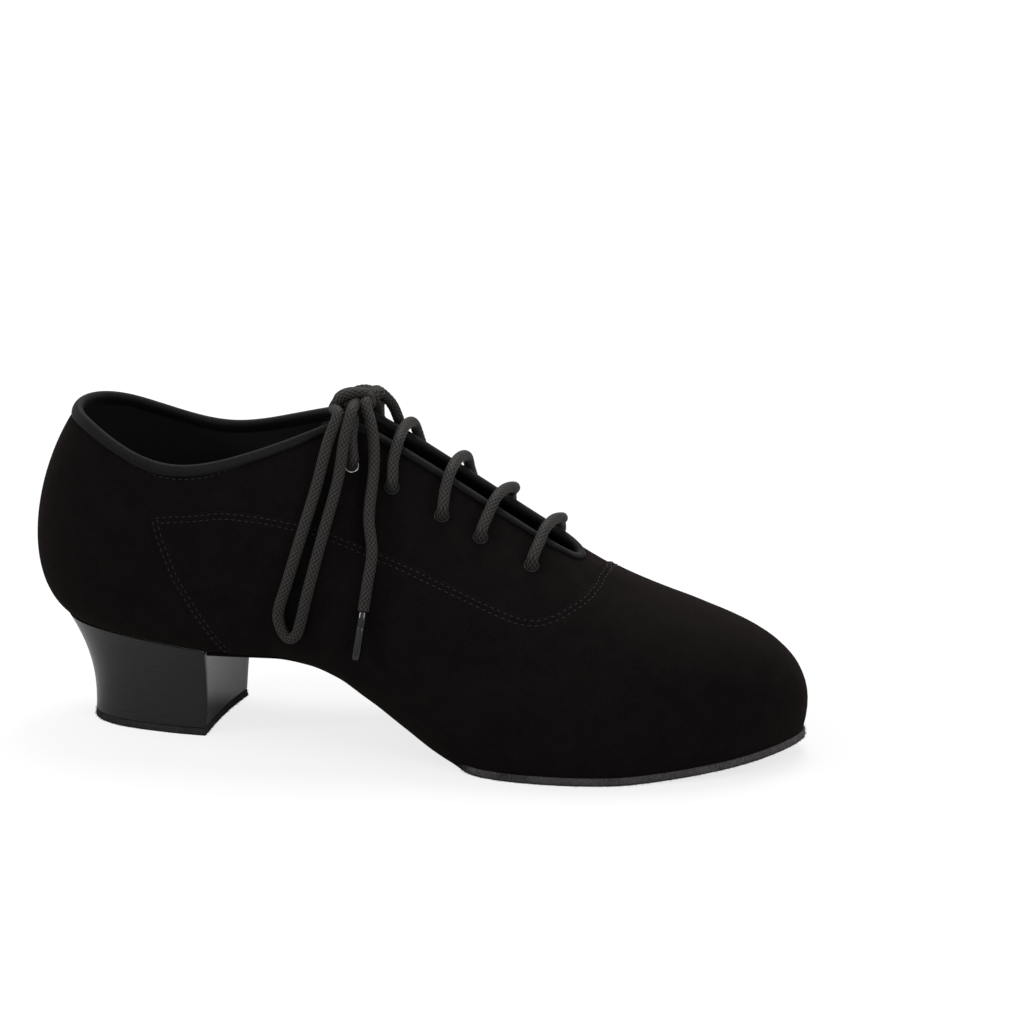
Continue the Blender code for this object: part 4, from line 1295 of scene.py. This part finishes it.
tongue_rows = []
for rib, reach, closing in TONGUE_ROWS:
    outer, inner = (tongue_side(side, rib, reach, closing) for side in (OUTER, INNER))
    middle = (outer[-1] + inner[-1]) / 2 + UP * TONGUE_ARCH * (1 - closing)
    tongue_rows.append([*outer, middle, *inner[::-1]])
tongue_rows = [tongue_top(tongue_rows[0], 1), tongue_top(tongue_rows[0], 0.5), *tongue_rows]
tongue = lay_sheet("suede_tongue", settle(tongue_rows), merge=False)
in_edit_mode(tongue, FLIP)
apply_modifier(tongue, "SOLIDIFY", thickness=TONGUE_THICK, offset=-1)
apply_modifier(tongue, "SUBSURF", levels=3, render_levels=3)
finish(tongue, tongue_suede, "black_suede", "tongue", angle=60)

# %% [markdown]
# ## Sole and insole
#
# Both are plates between two edge lines that follow the foot edge, one set in
# and one standing out a little.  A closed section with rounded edges is carried
# from the heel to the toe.

# %% Cut a plate
# Rounding of a plate's edge: mm in from the edge, and share of the thickness
EDGE_SECTION = ((0.50, 1.0), (0.16, 0.92), (0.0, 0.70), (0.0, 0.35), (0.12, 0.08), (0.42, 0.0))
HOLLOW_REACH = 14 * MM
PLATE_COLUMNS = 24
LEAST_WIDTH = 0.001 * MM


def breast_rib(side, along):
    """The rib on one side whose foot edge is a given way along."""
    return side * find_rib(0.0, float(TOE), along, lambda rib: foot_point(side * rib)[0])


def even_margin(size):
    """A margin that is the same all along."""
    return lambda along: np.full(np.shape(along), size)


def edge_point(at, margin):
    """Points that stand out of the foot edge by a margin."""
    foot = foot_point(at)
    return foot + foot_away(at) * margin(foot[..., 0])[..., None]


def plate(name, start_ribs, margin, bottom, top, hollow=0.0, steps=170):
    """A plate from a start line to the toe, with rounded edges."""
    share = np.linspace(0, 1, steps)
    sides = [edge_point(side * (abs(rib) + (TOE - abs(rib)) * share), margin)
             for side, rib in zip((OUTER, INNER), start_ribs)]
    width = np.linalg.norm(sides[0] - sides[1], axis=-1)
    across = np.linspace(0, 1, PLATE_COLUMNS + 2)[1:-1]
    start = sides[0][0][0]
    places = []
    for near, far, wide in zip(*sides, width):
        inset = [(min(way * MM / max(wide, LEAST_WIDTH), 0.5), height) for way, height in EDGE_SECTION]
        loop = [*inset[::-1], *[(s, 1.0) for s in across],
                *[(1 - way, height) for way, height in inset], *[(s, 0.0) for s in across[::-1]]]
        hollowed = hollow * ease(near[0], start + HOLLOW_REACH, start)
        row = []
        for s, height in (*loop, loop[0]):
            x, y = (near + (far - near) * s)[:2]
            x -= hollowed * (1 - (2 * s - 1) ** 2)
            row.append((x, y, bottom(x) + (top(x) - bottom(x)) * height))
        places.append(row)
    piece = lay_sheet(name, settle(places))
    in_edit_mode(piece, CLOSE_ENDS, FACE_OUT)
    return piece


def sole_margin(along):
    """The sole stands out in front and is set in under the waist."""
    return -WAIST_SET_IN + (WAIST_SET_IN + SOLE_MARGIN) * ease(along, *FOREPART)


INSOLE_START = 0.10
sole_start = [breast_rib(side, BREAST_ALONG + GAP) for side in (OUTER, INNER)]
outsole = plate("suede_outsole", sole_start, sole_margin, tread_height,
                lambda x: tread_height(x) + sole_thickness(x), hollow=BREAST_HOLLOW)
finish(outsole, sole_suede, "sole_suede", "outsole", angle=40)
insole = plate("sock_insole", (INSOLE_START, -INSOLE_START), even_margin(-INSOLE_SET_IN),
               lambda x: feather_height(x) + INSOLE_LIFT,
               lambda x: feather_height(x) + INSOLE_LIFT + INSOLE_THICK)
finish(insole, sock, "insole_leather", "insole", angle=40)

# %% [markdown]
# ## Heel
#
# The heel's outline is the seat's own, drawn in towards the tip by a concave
# curve.  The lifts are sanded flush and waxed, but each joint stays as a hair
# groove.  The corners at the breast are broken with a small radius.

# %% Stack the heel
HEEL_LIFT_LINE = 0.03 * MM
HEEL_LINE_WIDTH = 0.16 * MM
CORNER_RADIUS = 0.9 * MM
CORNER_BULGE = 0.28
HEEL_ROWS = 112
HEEL_EDGE = 0.25 * MM


def heel_base(steps=110, across_steps=34):
    """The seat's outline, from the outer breast corner round the back and across."""
    outer, inner = (breast_rib(side, BREAST_ALONG) for side in (OUTER, INNER))
    ribs = outer + (inner - outer) * np.linspace(0, 1, steps)
    back = edge_point(ribs, even_margin(HEEL_MARGIN))[:, :2]
    share = np.linspace(-1, 1, across_steps)
    breast = np.stack((BREAST_ALONG - BREAST_HOLLOW * (1 - share ** 2),
                       back[-1, 1] + (back[0, 1] - back[-1, 1]) * (share + 1) / 2), -1)
    return back, breast


def broken_corner(before, corner, after):
    """Three points that round a corner off."""
    to_before, to_after = (unit(point - corner) * CORNER_RADIUS for point in (before, after))
    return [corner + to_before, corner + (to_before + to_after) * CORNER_BULGE, corner + to_after]


def heel_ring(back, breast, share):
    """The heel's outline at a share of its height, 0 on the tip and 1 under the seat."""
    tip_scale = HEEL_TIP_LENGTH / (BREAST_ALONG - foot_point(0.0)[0])
    scale = tip_scale + (1 - tip_scale) * share ** HEEL_FLARE
    flat = np.vstack((broken_corner(breast[-3], back[0], back[2]), back[2:-2],
                      broken_corner(back[-3], back[-1], breast[2]), breast[2:-2]))
    x = BREAST_ALONG - BREAST_LEAN * (1 - share) + (flat[:, 0] - BREAST_ALONG) * scale
    y = flat[:, 1] * scale
    foot = HEEL_TIP_THICK + GAP
    z = foot + (feather_height(x) - GAP - foot) * share
    return np.stack((x, y, z), -1)


back, breast = heel_base()
heel_places = []
for share in np.linspace(0, 1, HEEL_ROWS):
    ring = heel_ring(back, breast, share)
    inward = unit((ring.mean(0) - ring) * (1, 1, 0))
    joint = np.abs((ring[:, 2] + LIFT / 2) % LIFT - LIFT / 2)
    depth = HEEL_LIFT_LINE * np.exp(-(joint / HEEL_LINE_WIDTH) ** 2)
    ring = ring + inward * depth[:, None]
    heel_places.append(np.vstack((ring, ring[:1])))
heel = lay_sheet("stacked_heel", settle(heel_places))
in_edit_mode(heel, CLOSE_ENDS, FACE_OUT)
apply_modifier(heel, "BEVEL", width=HEEL_EDGE, segments=2, angle_limit=math.radians(60))
finish(heel, stack, "stacked_leather", "heel_block", angle=40)

# %% [markdown]
# The tip is one lift of suede, cut by hand and worn by the floor.  Its edge is a
# few rings of the heel's own outline, and a random jag makes them rough.

# %% Heel tip with its rough edge
# Section of the tip's edge: share of its thickness, and mm out of the heel's own
TIP_SECTION = ((0.0, -0.15), (0.1, 0.12), (0.3, 0.18), (0.6, 0.08), (0.9, 0.02), (1.0, 0.0))
TIP_JAG = 0.06 * MM
SEED = 7
rough = np.random.default_rng(SEED)
tip_ring = heel_ring(back, breast, 0.0)
tip_out = unit((tip_ring - tip_ring.mean(0)) * (1, 1, 0))
tip_places = []
for height, out in TIP_SECTION:
    jag = rough.normal(0, TIP_JAG, len(tip_ring)) * (0 < height < 1)
    ring = tip_ring + tip_out * (out * MM + jag)[:, None]
    ring[:, 2] = height * HEEL_TIP_THICK
    tip_places.append(np.vstack((ring, ring[:1])))
tip_piece = lay_sheet("suede_heel_tip", settle(tip_places))
in_edit_mode(tip_piece, CLOSE_ENDS, FACE_OUT)
finish(tip_piece, tip_suede, "sole_suede", "heel_tip", angle=40)

# %% [markdown]
# ## Fibres of the cut edges
#
# A cut suede edge is fuzzy.  Thousands of short tapered fibres stand out of the
# sole's edge and of the heel tip's edge, all copies of one thin spike.

# %% Set the fibres
FIBRE_LENGTH = 0.85 * MM
FIBRE_THICK = 0.1 * MM
FIBRES_PER_MM = 13
FIBRE_ROOT = 0.1 * MM
FIBRE_TOP = 0.8
SOLE_SAMPLES = 220
# How fibres vary: spread of their turns and its share on each axis, gamma curve
# of the lengths, heights up the edge, widths, and limits of all sizes
FIBRE_TURN = 0.45
FIBRE_FLAT = (1, 1, 0.9)
FIBRE_GAMMA = (3.0, 0.22)
FIBRE_HEIGHTS = (0.05, 0.97)
FIBRE_WIDTHS = (0.6, 1.3)
FIBRE_LIMITS = (0.15, 1.4)
# Fibres that touch the ground: on the tip they are dense in its lowest part only
GROUND_FIBRES_PER_MM = 18
GROUND_HEIGHT = 0.7 * MM
OVER_FLOOR = 0.02 * MM
TIP_DENSE_SHARE = 0.3
TIP_THINNING = 3
spike = (np.array([(0, 0.5, 0), (0, -0.5, 0.3), (0, -0.1, -0.5), (1.0, 0, 0)])
         * (FIBRE_LENGTH, FIBRE_THICK, FIBRE_THICK), [(0, 2, 1), (0, 1, 3), (1, 2, 3), (2, 0, 3)])


def fibre_frames(line, outward, bottom, thick, per_mm):
    """Random frames and sizes of fibres on an edge, from its bottom to a height over it."""
    length = np.linalg.norm(np.diff(line, axis=0), axis=1).sum()
    count = int(length / MM * per_mm)
    pick = rough.uniform(0, len(line) - 1, count)
    low = np.floor(pick).astype(int)
    share = (pick - low)[:, None]
    middle = line[low] * (1 - share) + line[low + 1] * share
    out = unit(outward[low] + rough.normal(0, FIBRE_TURN, (count, 3)) * FIBRE_FLAT)
    base, rise = (np.interp(pick, range(len(line)), values) for values in (bottom, thick))
    middle[:, 2] = base + rough.uniform(*FIBRE_HEIGHTS, count) * rise
    side = unit(np.cross(out, rough.normal(0, 1, (count, 3))))
    sizes = np.stack((rough.gamma(*FIBRE_GAMMA, count), *[rough.uniform(*FIBRE_WIDTHS, count)] * 2), -1)
    return frames_of(out, side, np.cross(out, side), settle(middle)), np.clip(sizes, *FIBRE_LIMITS)


def set_fibres(name, material, *batches):
    """One mesh of fibres that stays over the floor."""
    frames, sizes = (np.vstack(part) for part in zip(*batches))
    fibres = stamp(name, spike, frames, sizes)
    for vertex in fibres.data.vertices:
        vertex.co.z = max(vertex.co.z, OVER_FLOOR)
    finish(fibres, material, "sole_suede", angle=180)


fore_ribs = [np.linspace(abs(breast_rib(side, INK_ENDS[0])), TOE, SOLE_SAMPLES)
             for side in (OUTER, INNER)]
sole_ribs = np.concatenate((fore_ribs[0], 2 * TOE - fore_ribs[1][-2::-1]))
sole_out = foot_away(sole_ribs)
sole_line = edge_point(sole_ribs, sole_margin) - sole_out * FIBRE_ROOT
sole_low = tread_height(sole_line[:, 0])
sole_thick = sole_thickness(sole_line[:, 0])
tip_low, tip_thick = np.zeros(len(tip_ring)), np.full(len(tip_ring), HEEL_TIP_THICK)
set_fibres("sole_edge_fibres", fibre_suede,
           fibre_frames(sole_line, sole_out, sole_low + GROUND_HEIGHT, sole_thick * FIBRE_TOP,
                        FIBRES_PER_MM))
set_fibres("ground_edge_fibres", ground_suede,
           fibre_frames(sole_line, sole_out, sole_low, np.full(len(sole_line), GROUND_HEIGHT),
                        GROUND_FIBRES_PER_MM),
           fibre_frames(tip_ring, tip_out, tip_low, tip_thick * TIP_DENSE_SHARE, GROUND_FIBRES_PER_MM),
           fibre_frames(tip_ring, tip_out, tip_low, tip_thick, GROUND_FIBRES_PER_MM / TIP_THINNING))

# %% [markdown]
# ## Eyelets
#
# An eyelet is turned: a barrel through the wall, its outer lip rolled over the
# suede and its flange rolled over the lining.  A Screw modifier turns the profile.

# %% Turn the eyelets
EYELET_SIDES = 40
# Profile in mm: radius and height over the suede
EYELET_PROFILE = ((2.04, -2.70), (2.04, 0.22), (2.12, 0.40), (2.28, 0.48), (2.46, 0.42), (2.58, 0.26),
                  (2.60, 0.06), (2.54, -0.04), (2.44, -0.10), (2.44, -2.34), (3.40, -2.36),
                  (3.44, -2.56), (3.30, -2.70))
for side, word in ((OUTER, "outer"), (INNER, "inner")):
    for k, (centre, out, *_) in enumerate(EYELETS[side]):
        profile = bpy.data.meshes.new(f"turned_eyelet_{word}_{k + 1}")
        count = len(EYELET_PROFILE)
        profile.from_pydata([(r * MM, 0, z * MM) for r, z in EYELET_PROFILE],
                            [(i, (i + 1) % count) for i in range(count)], [])
        eyelet = bpy.data.objects.new(profile.name, profile)
        bpy.context.scene.collection.objects.link(eyelet)
        apply_modifier(eyelet, "SCREW", steps=EYELET_SIDES, render_steps=EYELET_SIDES,
                       use_merge_vertices=True, merge_threshold=MERGE_WITHIN)
        turn = Vector(UP).rotation_difference(Vector(out)).to_matrix().to_4x4()
        eyelet.data.transform(Matrix.Translation(settle(centre)) @ turn)
        in_edit_mode(eyelet, FACE_OUT)
        top_pair = k == len(EYELETS_ALONG) - 1
        finish(eyelet, nickel if top_pair else enamel, "eyelet_metal", f"eyelet_{word}_{k + 1}")

# %% [markdown]
# ## Studio
#
# The picture is high-key: floor and background are white, and the shoe
# stands in a light that is stronger from above than from the sides.  The Light
# Path node keeps the two apart: the camera sees white, the shoe sees the light.
# Near the shoe the floor's glow fades a little towards the toe, which paints
# shade on the floor in front of the sole.

# %% Floor and light
FLOOR_SIZE = 14
# Glow of the floor for the camera near the heel and near the toe; the drop towards the toe is painted
# shade
FLOOR_GLOWS = (0.80, 0.75)
TOE_SHADE_REACH = (-0.05, 0.2)
FLOOR_SHADE = 0.195
FLOOR_FADE = (0.3, 0.9)
FLOOR_BOUNCE = 0.5
WALL_LIGHT, CEILING_LIGHT = 0.35, 0.95
HORIZON, ZENITH = -0.1, 0.9
# Name, place, aim, size and power
LIGHTS = (
    ("overhead_back_light", (0.15, 0.6, 1.4), (0.1, 0, 0.05), 0.7, 12),
    ("side_light", (-1.2, -0.75, 0.7), (0.05, 0, 0.06), 0.3, 6),
    ("toe_light", (1.3, -0.7, 0.55), (0.2, 0, 0.03), 0.6, 5),
)


def seen_or_lit(shading, seen, lit):
    """One value for the camera and another one for every other ray."""
    camera_ray = add_node(shading, "LightPath").outputs["Is Camera Ray"]
    share = calculate(shading, "MULTIPLY", camera_ray, calculate(shading, "SUBTRACT", seen, lit))
    return calculate(shading, "ADD", share, lit)


bpy.ops.mesh.primitive_plane_add(size=FLOOR_SIZE, location=(0, 0, -OVER_FLOOR))
floor = bpy.context.object
floor.name = "studio_floor"
paper, paper_shader = new_material("matt_white_paper", Roughness=1.0, Specular_IOR_Level=0.0,
                                   Emission_Color=(1, 1, 1, 1))
spot = object_place(paper)
# Weaker glow towards the toe: painted shade on the floor in front of the sole
near = map_range(paper, axis_of(paper, spot, "X"), *TOE_SHADE_REACH, *FLOOR_GLOWS)
reach = add_node(paper, "VectorMath", {0: spot}, operation="LENGTH").outputs["Value"]
far = map_range(paper, reach, *FLOOR_FADE, FLOOR_GLOWS[1], 1.0)
glow = calculate(paper, "MAXIMUM", near, far)
wire(paper, paper_shader, Base_Color=seen_or_lit(paper, FLOOR_SHADE, FLOOR_BOUNCE),
     Emission_Strength=seen_or_lit(paper, glow, 0.0))
floor.data.materials.append(paper)
for name, place, aim, size, power in LIGHTS:
    bpy.ops.object.light_add(type="AREA", location=place)
    light = bpy.context.object
    light.name = name
    light.data.shape = "DISK"
    light.data.size = size
    light.data.energy = power
    light.rotation_euler = (Vector(aim) - Vector(place)).to_track_quat("-Z", "Y").to_euler()

world = bpy.data.worlds.new("white_studio")
bpy.context.scene.world = world
world.use_nodes = True
upwards = axis_of(world, add_node(world, "TexCoord").outputs["Generated"], "Z")
level = map_range(world, upwards, HORIZON, ZENITH, WALL_LIGHT, CEILING_LIGHT)
backdrop = world.node_tree.nodes["Background"]
backdrop.inputs["Color"].default_value = (1, 1, 1, 1)
wire(world, backdrop, Strength=seen_or_lit(world, 1.0, level))
bpy.context.scene.view_settings.view_transform = "Standard"
